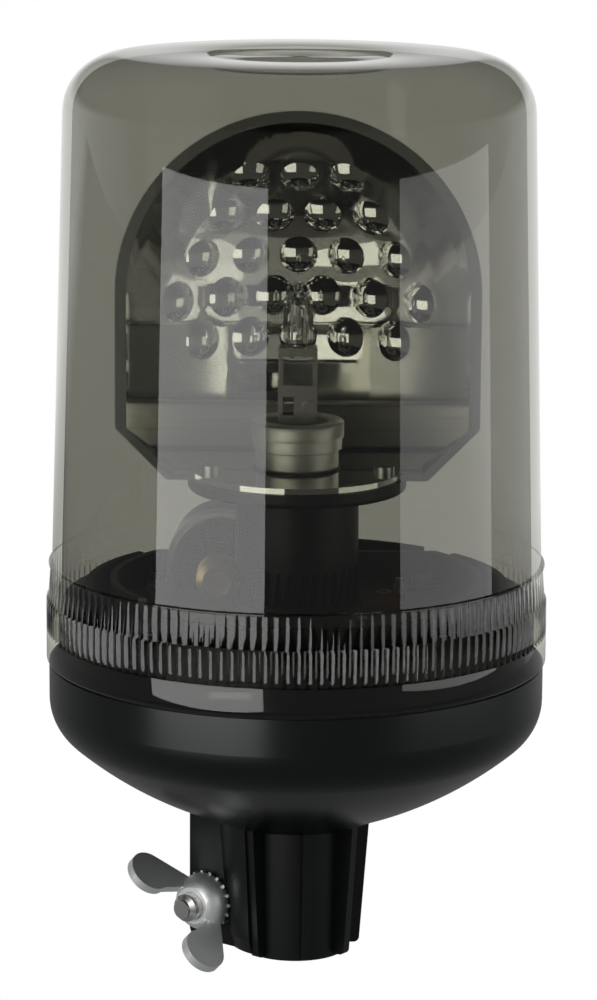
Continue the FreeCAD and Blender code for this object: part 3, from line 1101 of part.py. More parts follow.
def make_drum():
    """Drum with the worm wheel's teeth cut in a band, and its bearing bushes."""
    root = "(%s - dedendum)" % WHEEL_PITCH
    tip = "(%s + addendum)" % WHEEL_PITCH
    low = "(drive_height - wheel_width / 2)"
    high = "(drive_height + wheel_width / 2)"
    drum = turned("drum_gear", [
        (BUSH_RADIUS, DRUM_FOOT), ("drum_radius", DRUM_FOOT), ("drum_radius", low), (root, low),
        (root, high), ("drum_radius", high), ("drum_radius", "drum_seam"), (BUSH_RADIUS, "drum_seam")])
    rise = "(2 * pi * %s * worm_pitch_radius / (tooth_module / 2))" % WHEEL_PITCH
    phase = "(180 / wheel_teeth - 180 * wheel_width / %s)" % rise
    root_half = "(tooth_module * (pi / 4 + 0.15) - flank_play)"
    tip_half = "(tooth_module * (pi / 4 - 0.3168) - flank_play)"
    flank = "(%s * sin(pressure_angle))" % WHEEL_PITCH
    tooth = outline(new_sketch(drum, "tooth_profile", "XY_Plane", low, phase), [
        (root + " - 0.15", "-" + root_half, flank), (tip, "-" + tip_half), (tip, tip_half, flank),
        (root + " - 0.15", root_half)])
    winding = drum.newObject("PartDesign::AdditiveHelix", "tooth")
    winding.Profile = tooth
    winding.ReferenceAxis = (origin_part(drum, "Z_Axis"), [""])
    winding.Mode = "pitch-height-angle"
    winding.setExpression("Pitch", bound(rise))
    winding.setExpression("Height", bound("wheel_width"))
    repeat(drum, "teeth", winding, "wheel_teeth")

    carrier = turned("carrier_plate", [
        (BUSH_RADIUS, "drum_seam"), ("drum_radius", "drum_seam"), ("drum_radius", "carrier_disc_base"),
        ("carrier_disc_radius - carrier_disc_round", "carrier_disc_base", "carrier_disc_round"),
        ("carrier_disc_radius", "carrier_disc_base + carrier_disc_round"),
        ("carrier_disc_radius", DISC_TOP), (BUSH_RADIUS, DISC_TOP)])
    holes = new_sketch(carrier, "carrier_hole_profile", "XY_Plane", DISC_TOP)
    for x, y in MIRROR_SPOTS:
        disc(holes, "mirror_screw_radius", x, y)
    pocket(carrier, "carrier_holes", holes, "mirror_screw_length")
    bushes = new_body("bearing_bushes")
    for name, foot, head in (("lower_bush", DRUM_FOOT, DRUM_FOOT + " + bush_length"),
                             ("upper_bush", DISC_TOP + " - bush_length", DISC_TOP)):
        profile = block(new_sketch(bushes, name + "_profile", "XZ_Plane"), "post_radius + bush_fit", foot,
                        BUSH_RADIUS, head)
        revolve(bushes, name, profile)


def make_reflector():
    """Mirror: a parabolic trough that ends in half a paraboloid, on a round foot.

    The focal line lies on the beacon's axis, so the filament stands in the focus.
    """
    focal = value("focal_length")
    half = value("mirror_half_width")
    wall = value("mirror_wall")
    crown = value("mirror_crown")
    foot = value(DISC_TOP)
    lip = value("lip_reach")
    rim = focal - half ** 2 / (4 * focal)
    bevel = math.atan2(value("mirror_bevel"), half - value("mirror_foot_half"))

    def reach(height):
        """Half width of a parabola whose vertex lies this far behind the axis, at the rim plane."""
        return math.sqrt(4 * focal * (height - rim))

    def bowl(vertex, edge, floor, corner):
        """Everything in front of the parabola with this vertex, down to its floor and cut corners."""
        centre = FreeCAD.Vector(0, vertex, crown)
        side = FreeCAD.Vector(edge, rim, crown)
        knee = FreeCAD.Vector(edge / 2, vertex, crown)
        curve = Part.BezierCurve()
        curve.setPoles([centre, knee, side])
        front = FreeCAD.Vector(0, rim, crown)
        quarter = Part.Face(Part.Wire([curve.toShape(), Part.makeLine(side, front), Part.makeLine(front, centre)]))
        dome = quarter.revolve(front, FreeCAD.Vector(0, -1, 0), 180)
        mirrored = quarter.mirror(FreeCAD.Vector(0, 0, crown), FreeCAD.Vector(1, 0, 0))
        trough = quarter.fuse(mirrored).extrude(FreeCAD.Vector(0, 0, floor - crown))
        slope = crown - floor
        cut = [FreeCAD.Vector(sign * x, rim - 1, z) for sign in (1, -1)
               for x, z in ((corner, floor), (corner + slope / math.tan(bevel), crown),
                            (half * 4, crown), (half * 4, floor))]
        whole = dome.fuse(trough)
        for corners in (cut[:4], cut[4:]):
            wedge = Part.Face(Part.makePolygon(corners + corners[:1]))
            whole = whole.cut(wedge.extrude(FreeCAD.Vector(0, vertex - rim + 2, 0)))
        return whole

    corner = value("mirror_foot_half")
    inner_corner = corner - wall * math.tan(bevel / 2)
    outer = bowl(focal + wall, reach(focal + wall), foot, corner)
    inner = bowl(focal, half, foot + wall, inner_corner)

    def plate(edge, floor, width):
        """Flat outline of the rim, as thick as the lip."""
        depth = value("lip_thickness")
        arch = Part.makeCylinder(edge, depth, FreeCAD.Vector(0, rim, crown), FreeCAD.Vector(0, 1, 0))
        slope = crown - floor
        lower = [(width, floor), (width + slope / math.tan(bevel), crown), (-width - slope / math.tan(bevel), crown),
                 (-width, floor)]
        corners = [FreeCAD.Vector(x, rim, z) for x, z in lower]
        skirt = Part.Face(Part.makePolygon(corners + corners[:1])).extrude(FreeCAD.Vector(0, depth, 0))
        sides = Part.makeBox(2 * edge, depth, crown - floor, FreeCAD.Vector(-edge, rim, floor))
        upper = Part.makeBox(2 * edge, depth, edge, FreeCAD.Vector(-edge, rim, crown))
        return arch.common(upper).fuse(skirt.common(sides))

    spread = lip * math.tan(bevel / 2)
    collar = plate(reach(focal + wall) + lip, foot, corner + spread)
    flange = Part.makeCylinder(value("mirror_flange"), wall, FreeCAD.Vector(0, 0, foot))
    shell = outer.fuse([collar, flange]).cut(inner)

    depth = value("bubble_radius") - math.sqrt(value("bubble_radius") ** 2 - value("bubble_foot") ** 2)
    pitch = value("bubble_pitch")
    bubbles = []
    for row in range(6):
        height = value("bubble_low") + row * pitch * math.sin(math.radians(60))
        for column in range(-3, 4):
            x = (column + (row % 2) / 2) * pitch
            above = max(height - crown, 0)
            if math.hypot(x, height - value("bubble_low")) > value("bubble_limit") + 14 or \
                    math.hypot(x, above) > value("bubble_limit"):
                continue
            y = focal - (x ** 2 + above ** 2) / (4 * focal)
            inward = FreeCAD.Vector(-x / (2 * focal), -1, -above / (2 * focal)).normalize()
            centre = FreeCAD.Vector(x, y, height) + inward * (depth - value("bubble_radius"))
            bubbles.append(Part.makeSphere(value("bubble_radius"), centre))
    caps = [bubble.common(inner) for bubble in bubbles]
    shell = shell.fuse(caps)
    holes = [Part.makeCylinder(value("mirror_opening"), 3 * wall, FreeCAD.Vector(0, 0, foot - wall))]
    holes += [Part.makeCylinder(value("mirror_screw_radius"), 3 * wall,
                                FreeCAD.Vector(value(x), value(y), foot - wall)) for x, y in MIRROR_SPOTS]
    shell = shell.cut(holes).removeSplitter()
    piece = DOC.addObject("Part::Feature", "reflector_shell")
    piece.Label = "reflector"
    piece.Shape = shell
    piece.Placement = FreeCAD.Placement()
    PIECES.append(piece)
    screws("reflector_screws", MIRROR_SPOTS, DISC_TOP + " + mirror_wall", "mirror_screw_head",
           "mirror_screw_head_height", "mirror_screw_radius", "mirror_screw_length")


# ---------------------------------------------------------------------------------- dome

SKIRT = "(spigot_wall_radius + ramp_reach + skirt_clearance)"


def make_dome():
    """Transparent dome: drafted wall, flat top with a recess, ribbed grip band and bayonet lugs."""
    wall_foot = "band_top + bead_height"
    ahead = "cos(dome_draft)"
    up = "sin(dome_draft)"
    bend_z = "dome_top - dome_corner * (1 - %s)" % up
    bend_x = "wall_foot_radius - (dome_top - dome_corner * (1 - %s) - (%s)) * tan(dome_draft)" % (up, wall_foot)
    flat_x = "(%s) - dome_corner * %s" % (bend_x, ahead)
    inner_corner = "(dome_corner - dome_wall)"
    inner_bend_x = "(%s) - dome_wall * %s" % (bend_x, ahead)
    inner_bend_z = "(%s) - dome_wall * %s" % (bend_z, up)
    inner_foot_x = "wall_foot_radius - dome_wall / %s + (%s - (skirt_top + 1.5)) * tan(dome_draft)" % (ahead, wall_foot)
    top_inside = "dome_top - dome_wall"
    recess = "dome_top - recess_depth"
    dome = turned("dome", [
        (SKIRT, "rim_height"), ("rim_radius - rim_round", "rim_height", "rim_round"),
        ("rim_radius", "rim_height + rim_round"), ("rim_radius", "band_foot - 0.4"),
        ("band_valley", "band_foot"), ("band_valley", "band_top"), ("bead_radius", "band_top + 0.2"),
        ("bead_radius", wall_foot + " - 0.2"), ("wall_foot_radius", wall_foot),
        (bend_x, bend_z, "dome_corner"), (flat_x, "dome_top"),
        ("recess_radius + 1", "dome_top"), ("recess_radius", recess), ("gate_radius", recess),
        ("gate_radius - 0.4", recess + " + gate_height"), ("0", recess + " + gate_height"),
        ("0", top_inside + " - recess_depth"), ("recess_radius", top_inside + " - recess_depth"),
        ("recess_radius + 1", top_inside), (flat_x, top_inside, "-" + inner_corner),
        (inner_bend_x, inner_bend_z), (inner_foot_x, "skirt_top + 1.5"), (SKIRT, "skirt_top")])
    grip = outline(new_sketch(dome, "grip_profile", "XZ_Plane"), [
        ("band_valley - grip_bite", "band_foot"), ("grip_low_radius", "band_foot"),
        ("grip_low_radius", "band_step - 0.6"), ("grip_high_radius", "band_step + 0.2"),
        ("grip_high_radius", "band_top"), ("band_valley - grip_bite", "band_top")])
    repeat(dome, "grip", pad(dome, "grip_rib", grip, "grip_width", middle=True), "grip_count")
    lug_top = "ramp_height - bayonet_clearance"
    lug = block(new_sketch(dome, "lug_profile", "XZ_Plane", turn="ramp_start"),
                "spigot_wall_radius + bayonet_clearance", lug_top + " - bayonet_thickness",
                SKIRT + " + 0.5", lug_top)
    lugs = helix(dome, "lug", lug, "ramp_pitch", "ramp_pitch * bayonet_span / 360")
    repeat(dome, "lugs", lugs, "ramp_count")


def make_seal():
    """Flat rubber ring between bowl and dome, proud of its groove."""
    low = "ledge_height - groove_depth"
    inner = "spigot_wall_radius + seal_clearance"
    outer = "groove_radius - seal_clearance"
    turned("dome_seal", [(inner, low), (outer, low), (outer, "rim_height"), (inner, "rim_height")])


# ---------------------------------------------------------------------------------- build

make_pole_socket()
make_base_bowl()
make_socket_plate()
make_contacts()
make_clamp_hardware()
make_chassis_deck()
make_gear_tray()
make_motor()
make_terminal_board()
make_centre_post()
make_lamp()
make_worm()
make_drum()
make_reflector()
make_dome()
make_seal()
DOC.recompute()

faults = [item.Name for item in DOC.Objects if {"Invalid", "Error"} & set(item.State)]
faults += [piece.Label for piece in PIECES if piece.Shape.isNull() or not piece.Shape.isValid()]
if faults:
    raise RuntimeError("failed: " + ", ".join(faults))

os.makedirs("parts", exist_ok=True)
for piece in PIECES:
    piece.Shape.exportStep(os.path.join("parts", piece.Label + ".step"))
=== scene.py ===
"""Rotating beacon: finishes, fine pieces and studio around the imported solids. Metres, +Z up."""

import bmesh
import bpy
import math
from mathutils import Matrix, Vector


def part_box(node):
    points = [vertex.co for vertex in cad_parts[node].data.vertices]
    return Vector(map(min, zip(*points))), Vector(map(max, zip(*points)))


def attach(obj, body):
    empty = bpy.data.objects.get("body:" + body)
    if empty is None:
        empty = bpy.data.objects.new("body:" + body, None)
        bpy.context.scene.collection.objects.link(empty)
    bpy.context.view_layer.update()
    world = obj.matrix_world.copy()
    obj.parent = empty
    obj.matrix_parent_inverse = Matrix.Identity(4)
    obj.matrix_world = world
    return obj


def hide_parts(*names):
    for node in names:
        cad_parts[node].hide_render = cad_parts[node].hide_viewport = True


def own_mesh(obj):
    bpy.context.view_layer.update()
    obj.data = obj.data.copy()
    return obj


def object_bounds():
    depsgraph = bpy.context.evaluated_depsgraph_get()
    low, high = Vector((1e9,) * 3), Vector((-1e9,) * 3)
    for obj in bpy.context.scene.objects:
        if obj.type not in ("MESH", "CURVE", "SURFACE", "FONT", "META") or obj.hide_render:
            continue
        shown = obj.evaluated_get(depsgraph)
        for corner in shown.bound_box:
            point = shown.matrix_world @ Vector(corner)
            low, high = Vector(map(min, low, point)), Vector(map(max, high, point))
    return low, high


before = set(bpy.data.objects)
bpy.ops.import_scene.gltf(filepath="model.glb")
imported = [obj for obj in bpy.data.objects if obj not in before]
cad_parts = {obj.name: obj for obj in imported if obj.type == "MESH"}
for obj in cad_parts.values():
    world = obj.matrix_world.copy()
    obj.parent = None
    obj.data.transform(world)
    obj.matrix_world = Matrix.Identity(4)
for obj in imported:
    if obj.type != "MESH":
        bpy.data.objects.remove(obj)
FRAME_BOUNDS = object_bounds()

bl_info = {
    "name": "Rotating Beacon",
    "version": (1, 0, 0),
    "blender": (4, 5, 0),
    "location": "View3D > Sidebar > Beacon",
    "description": "Finishes and fine pieces of a clamped rotating beacon, and its studio",
    "category": "Object",
}

MM = 0.001
DOME_LOW, DOME_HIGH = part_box("dome")


# ---------------------------------------------------------------------------------- helpers

def linear(code):
    """An sRGB hex value as linear RGB with full alpha."""
    channels = [int(code[i:i + 2], 16) / 255 for i in (1, 3, 5)]
    return (*[c / 12.92 if c <= 0.04045 else ((c + 0.055) / 1.055) ** 2.4 for c in channels], 1.0)


def add_node(tree, kind, inputs=None, **settings):
    """Add a node, give it its settings, and set or link its inputs."""
    node = tree.nodes.new(kind)
    for name, setting in settings.items():
        setattr(node, name, setting)
    for key, source in (inputs or {}).items():
        if isinstance(source, bpy.types.NodeSocket):
            tree.links.new(source, node.inputs[key])
        else:
            node.inputs[key].default_value = source
    return node


def new_material(name):
    """An empty material and its tree with an output node."""
    material = bpy.data.materials.new(name)
    material.use_nodes = True
    tree = material.node_tree
    tree.nodes.clear()
    return material, tree, tree.nodes.new("ShaderNodeOutputMaterial")


def plain(name, colour, roughness, metallic=0.0, **more):
    """A material of one even colour."""
    material, tree, output = new_material(name)
    inputs = {"Base Color": linear(colour), "Roughness": roughness, "Metallic": metallic}
    inputs.update({key.replace("_", " "): value for key, value in more.items()})
    shader = add_node(tree, "ShaderNodeBsdfPrincipled", inputs)
    tree.links.new(shader.outputs["BSDF"], output.inputs["Surface"])
    return material


def grained(name, colour, roughness, grain, depth, metallic=0.0, **more):
    """A material with a fine moulded or cast grain, its size and depth in metres."""
    material, tree, output = new_material(name)
    place = add_node(tree, "ShaderNodeTexCoord")
    noise = add_node(tree, "ShaderNodeTexNoise", {"Vector": place.outputs["Object"], "Scale": 1 / grain,
                                                  "Detail": 2.0})
    bump = add_node(tree, "ShaderNodeBump", {"Height": noise.outputs["Fac"], "Distance": depth,
                                             "Strength": 1.0})
    inputs = {"Base Color": linear(colour), "Roughness": roughness, "Metallic": metallic,
              "Normal": bump.outputs["Normal"]}
    inputs.update({key.replace("_", " "): value for key, value in more.items()})
    shader = add_node(tree, "ShaderNodeBsdfPrincipled", inputs)
    tree.links.new(shader.outputs["BSDF"], output.inputs["Surface"])
    return material


def finish_nodes(material, *nodes):
    """Give CAD nodes a finish."""
    for name in nodes:
        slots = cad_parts[name].data.materials
        slots.clear()
        slots.append(material)


def section(points):
    """A closed outline in the XZ plane in millimetres: each point has x, z and the radius of its corner."""
    shape = bmesh.new()
    corners = [shape.verts.new((x * MM, 0, z * MM)) for x, z, _ in points]
    for here, after in zip(corners, corners[1:] + corners[:1]):
        shape.edges.new((here, after))
    for i, (corner, (_, _, radius)) in enumerate(zip(corners, points)):
        if radius:
            before = Vector(points[i - 1][:2]) - Vector(points[i][:2])
            after = Vector(points[(i + 1) % len(points)][:2]) - Vector(points[i][:2])
            turn = math.pi - before.angle(after)
            bmesh.ops.bevel(shape, geom=[corner], offset=radius * MM * math.tan(turn / 2), offset_type="OFFSET",
                            segments=max(2, round(math.degrees(turn) / 8)), profile=0.5, affect="VERTICES",
                            material=-1)
    return shape


def turn_round(shape, steps):
    """Spin a section about the Z axis and close it on the axis."""
    bmesh.ops.spin(shape, geom=shape.verts[:] + shape.edges[:], axis=(0, 0, 1), cent=(0, 0, 0), steps=steps,
                   angle=2 * math.pi, use_merge=True)
    bmesh.ops.remove_doubles(shape, verts=shape.verts, dist=0.001 * MM)
    bmesh.ops.recalc_face_normals(shape, faces=shape.faces)
    return shape


def new_piece(name, shape, material, body, slot, *nodes, sharp=35):
    """Make a finished piece from a bmesh. It rides on a body and may stand for CAD nodes."""
    mesh = bpy.data.meshes.new(name)
    shape.to_mesh(mesh)
    shape.free()
    mesh.shade_smooth()
    mesh.set_sharp_from_angle(angle=math.radians(sharp))
    mesh.materials.append(material)
    piece = bpy.data.objects.new(name, mesh)
    bpy.context.scene.collection.objects.link(piece)
    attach(piece, body)
    if nodes:
        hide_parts(*nodes)
    return piece


# ---------------------------------------------------------------------------------- finishes

def smoked_polycarbonate():
    """Polycarbonate tinted in the melt and moulded against polished steel: grey, clear and glossy."""
    material, tree, output = new_material("smoked polycarbonate")
    settings = bpy.context.scene.beacon_dome
    tint = add_node(tree, "ShaderNodeBsdfTransparent", {"Color": linear(settings.tint_hex)})
    gloss = add_node(tree, "ShaderNodeBsdfAnisotropic", {"Color": (1, 1, 1, 1), "Roughness": 0.02})
    fresnel = add_node(tree, "ShaderNodeFresnel", {"IOR": 1.45})
    side = add_node(tree, "ShaderNodeNewGeometry")
    outer = add_node(tree, "ShaderNodeMath", {0: 1.0, 1: side.outputs["Backfacing"]}, operation="SUBTRACT")
    share = add_node(tree, "ShaderNodeMath", {0: fresnel.outputs["Fac"], 1: outer.outputs[0]},
                     operation="MULTIPLY")
    surface = add_node(tree, "ShaderNodeMixShader", {0: share.outputs[0], 1: tint.outputs["BSDF"],
                                                     2: gloss.outputs["BSDF"]})
    tree.links.new(surface.outputs["Shader"], output.inputs["Surface"])
    return material


# ---------------------------------------------------------------------------------- sizes and colours

class BeaconDome(bpy.types.PropertyGroup):
    """The dome's tint, wall and ribs."""
    wall: bpy.props.FloatProperty(name="Wall", description="Thickness of the wall", default=2.8 * MM,
                                  unit="LENGTH")
    corner: bpy.props.FloatProperty(name="Corner", description="Radius between wall and top",
                                    default=16.1 * MM, unit="LENGTH")
    draft: bpy.props.FloatProperty(name="Draft", description="Slope of the wall",
                                   default=math.radians(1.62), subtype="ANGLE")
    ribs: bpy.props.IntProperty(name="Ribs", description="Ribs round the grip band", default=144)
    rib_low: bpy.props.FloatProperty(name="Low ribs", description="Height of the ribs' lower half",
                                     default=1.3 * MM, unit="LENGTH")
    rib_high: bpy.props.FloatProperty(name="High ribs", description="Height of the ribs' upper half",
                                      default=0.7 * MM, unit="LENGTH")
    tint_hex: bpy.props.StringProperty(name="Tint", description="Light left by each surface of the dome",
                                       default="#d1d1cc")


class BeaconStudio(bpy.types.PropertyGroup):
    """Camera."""
    distance: bpy.props.FloatProperty(name="Camera distance", description="From the beacon's axis",
                                      default=1.0587, unit="LENGTH")
    height: bpy.props.FloatProperty(name="Camera height", description="Above the socket mouth",
                                    default=0.3494, unit="LENGTH")
    offset: bpy.props.FloatProperty(name="Camera offset", description="To the right of the axis",
                                    default=0.0004, unit="LENGTH")
    tilt: bpy.props.FloatProperty(name="Camera tilt", description="Below level",
                                  default=math.radians(11.608), subtype="ANGLE")
    roll: bpy.props.FloatProperty(name="Camera roll", description="About its line of sight",
                                  default=math.radians(0.37), subtype="ANGLE")
    lens: bpy.props.FloatProperty(name="Lens", description="Focal length on a 36 mm high frame",
                                  default=137.1, unit="CAMERA")


# ---------------------------------------------------------------------------------- operators

class BEACON_OT_housing(bpy.types.Operator):
    """Finish bowl, socket and seal"""
    bl_idname = "beacon.housing"
    bl_label = "Housing"

    def execute(self, context):
        # Glass-filled nylon from an eroded mould: near black, with a soft sheen over a fine grain.
        finish_nodes(grained("moulded black nylon", "#04090a", 0.26, 0.5 * MM, 0.004 * MM,
                             Specular_IOR_Level=0.3), "base_bowl")
        # The same nylon, duller where the pole is pushed in and out.
        finish_nodes(grained("moulded black nylon, socket", "#06090a", 0.34, 0.5 * MM, 0.006 * MM,
                             Specular_IOR_Level=0.3), "pole_socket")
        # Nitrile rubber, pressed flat: matt and black.
        finish_nodes(plain("rubber seal", "#141414", 0.7), "dome_seal")
        return {"FINISHED"}


class BEACON_OT_clamp(bpy.types.Operator):
    """Finish bolt, washer and wing nut"""
    bl_idname = "beacon.clamp"
    bl_label = "Clamp"

    def execute(self, context):
        # Turned and stamped steel under thin zinc: bright, with soft highlights.
        finish_nodes(plain("zinc-plated steel", "#b9b9b6", 0.3, 1.0), "clamp_bolt", "toothed_washer")
        # Sand-cast iron under zinc: the sand's grain breaks up its shine.
        finish_nodes(grained("zinc-plated malleable iron", "#eceeee", 0.48, 0.8 * MM, 0.05 * MM, 1.0), "wing_nut")
        return {"FINISHED"}


class BEACON_OT_chassis(bpy.types.Operator):
    """Finish deck, tray, motor and terminals, and wind the spring of the contact"""
    bl_idname = "beacon.chassis"
    bl_label = "Chassis"

    def execute(self, context):
        # Moulded and unpolished: it goes almost black in the shade of the dome.
        finish_nodes(plain("black polyamide", "#0a0a09", 0.45, Specular_IOR_Level=0.3), "chassis_deck")
        # Left as cast: grey, with a dull metal grain.
        finish_nodes(grained("die-cast zinc", "#6f6f6c", 0.45, 0.6 * MM, 0.02 * MM, 0.9), "gear_tray")
        # Barrel-plated small steel parts: smooth and light.
        bright = plain("bright zinc on steel", "#c4c4c0", 0.28, 1.0)
        finish_nodes(bright, "deck_screws", "tray_screws",
                     "strap_screws", "socket_screws", "socket_plate", "centre_post", "post_circlip",
                     "motor_strap", "motor_shaft", "terminal_post")
        self.coil(bright)
        # Deep-drawn and nickel-washed: smooth, a little darker than the screws.
        finish_nodes(plain("drawn steel can", "#a8a8a4", 0.32, 1.0), "motor_case")
        # Moulded phenolic: dark and half matt.
        finish_nodes(plain("black motor cap", "#242424", 0.45), "motor_end_cap")
        # Stamped and turned brass: warm yellow against the black.
        finish_nodes(plain("brass", "#c8a860", 0.3, 1.0), "motor_terminals", "terminal_eyelet", "earth_tag",
                     "lamp_contact", "centre_contact")
        # Resin-bonded paper, punched: brown and dull.
        finish_nodes(plain("paper laminate", "#4a2f1e", 0.55), "terminal_board")
        # Uncoloured nylon: creamy and half matt.
        finish_nodes(plain("natural nylon", "#c9c3b2", 0.5), "thrust_washer", "contact_carrier", "lamp_insulator")
        return {"FINISHED"}

    def coil(self, material):
        """Spring of the centre contact: a wire wound in even turns up the height of the CAD spring."""
        low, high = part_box("contact_spring")
        wire, travel, turns, steps = 0.4 * MM, 3 * MM, 5, 24
        rise = (high.z - low.z - 2 * wire) / (turns * steps)
        shape = bmesh.new()
        place = Matrix.Translation((high.x - wire, 0, low.z + wire)) @ Matrix.Rotation(math.pi / 2, 4, "X")
        bmesh.ops.create_circle(shape, segments=10, radius=wire, matrix=place)
        bmesh.ops.spin(shape, geom=shape.verts[:] + shape.edges[:], axis=(0, 0, 1), cent=(0, 0, 0),
                       dvec=(0, 0, rise), steps=turns * steps, angle=turns * math.tau)
        bmesh.ops.holes_fill(shape, edges=shape.edges[:], sides=0)
        bmesh.ops.recalc_face_normals(shape, faces=shape.faces[:])
        piece = new_piece("contact_coil", shape, material, "base", "zinc_steel", "contact_spring")
        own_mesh(piece)


class BEACON_OT_rotor(bpy.types.Operator):
    """Finish worm, drum and mirror"""
    bl_idname = "beacon.rotor"
    bl_label = "Rotor"

    def execute(self, context):
        # Acetal, moulded smooth: black with a faint gloss.
        finish_nodes(plain("black acetal", "#0c0c0b", 0.4, Specular_IOR_Level=0.3), "drum_gear")
        finish_nodes(plain("black acetal, carrier", "#0c0c0b", 0.4, Specular_IOR_Level=0.3), "carrier_plate")
        # Pressed from powder and soaked in oil: brown and dull.
        finish_nodes(plain("sintered bronze", "#8a6c42", 0.45, 1.0), "bearing_bushes")
        # Cut brass: its flanks catch light along the thread.
        finish_nodes(plain("machined brass worm", "#b9a878", 0.3, 1.0), "worm")
        # Aluminium evaporated on lacquered plastic: a true mirror.
        finish_nodes(plain("metallised plastic", "#e6e6e2", 0.04, 1.0), "reflector")
        # Plated screw heads: small bright points.
        finish_nodes(plain("bright screws", "#c4c4c0", 0.28, 1.0), "reflector_screws")
        return {"FINISHED"}


class BEACON_OT_lamp(bpy.types.Operator):
    """Finish lamp holder and bulb, and cut the knurled ring"""
    bl_idname = "beacon.lamp"
    bl_label = "Lamp"

    def execute(self, context):
        # Satin nickel over turned brass: light, with broad highlights.
        nickel = plain("nickel-plated brass", "#e8e7e0", 0.5, 1.0)
        finish_nodes(nickel, "lamp_cup")
        self.ring(nickel)
        # Folded bright strip: flat and shiny.
        finish_nodes(plain("bright steel sleeve", "#ecece6", 0.24, 1.0), "bulb_base", "bulb_clip", "bulb_screw")
        # Drawn wire, coiled: dull grey when it is cold.
        finish_nodes(plain("tungsten", "#8a8680", 0.4, 1.0), "bulb_filament")
        # Fused and clear, with sharp edges of light.
        finish_nodes(plain("hard glass", "#ffffff", 0.0, 0.0, Transmission_Weight=1.0, IOR=1.5), "bulb_glass")
        return {"FINISHED"}

    def ring(self, material):
        """Lamp ring with a cross-knurled band: every second point of its grid is sunk."""
        steps, rows = 144, 8
        foot, top, ring_top, ring_foot, floor = 150.6, 154.7, 155.2, 147.0, 150.5
        bore, skirt, knurl, mouth, bevel, cut = 11.75, 12.6, 13.2, 8.8, 0.5, 0.35
        pitch = (top - foot) / (rows - 1)
        band = [(knurl, foot + i * pitch, 0) for i in range(rows)]
        shape = section([(bore, ring_foot, 0), (skirt, ring_foot, 0.3), (skirt, foot, 0), *band,
                         (knurl - bevel, ring_top, 0), (mouth + bevel, ring_top, 0), (mouth, ring_top - bevel, 0),
                         (mouth, floor, 0), (bore, floor, 0)])
        turn_round(shape, steps)
        for vert in shape.verts:
            radius = math.hypot(vert.co.x, vert.co.y) / MM
            row = (vert.co.z / MM - foot) / pitch
            step = round(math.atan2(vert.co.y, vert.co.x) / math.tau * steps)
            if radius > knurl - 0.05 and 0.5 < row < rows - 1.5 and (step + round(row)) % 2:
                vert.co.x *= 1 - cut / radius
                vert.co.y *= 1 - cut / radius
        new_piece("knurled_ring", shape, material, "lamp_ring", "nickel_ring", "lamp_ring")


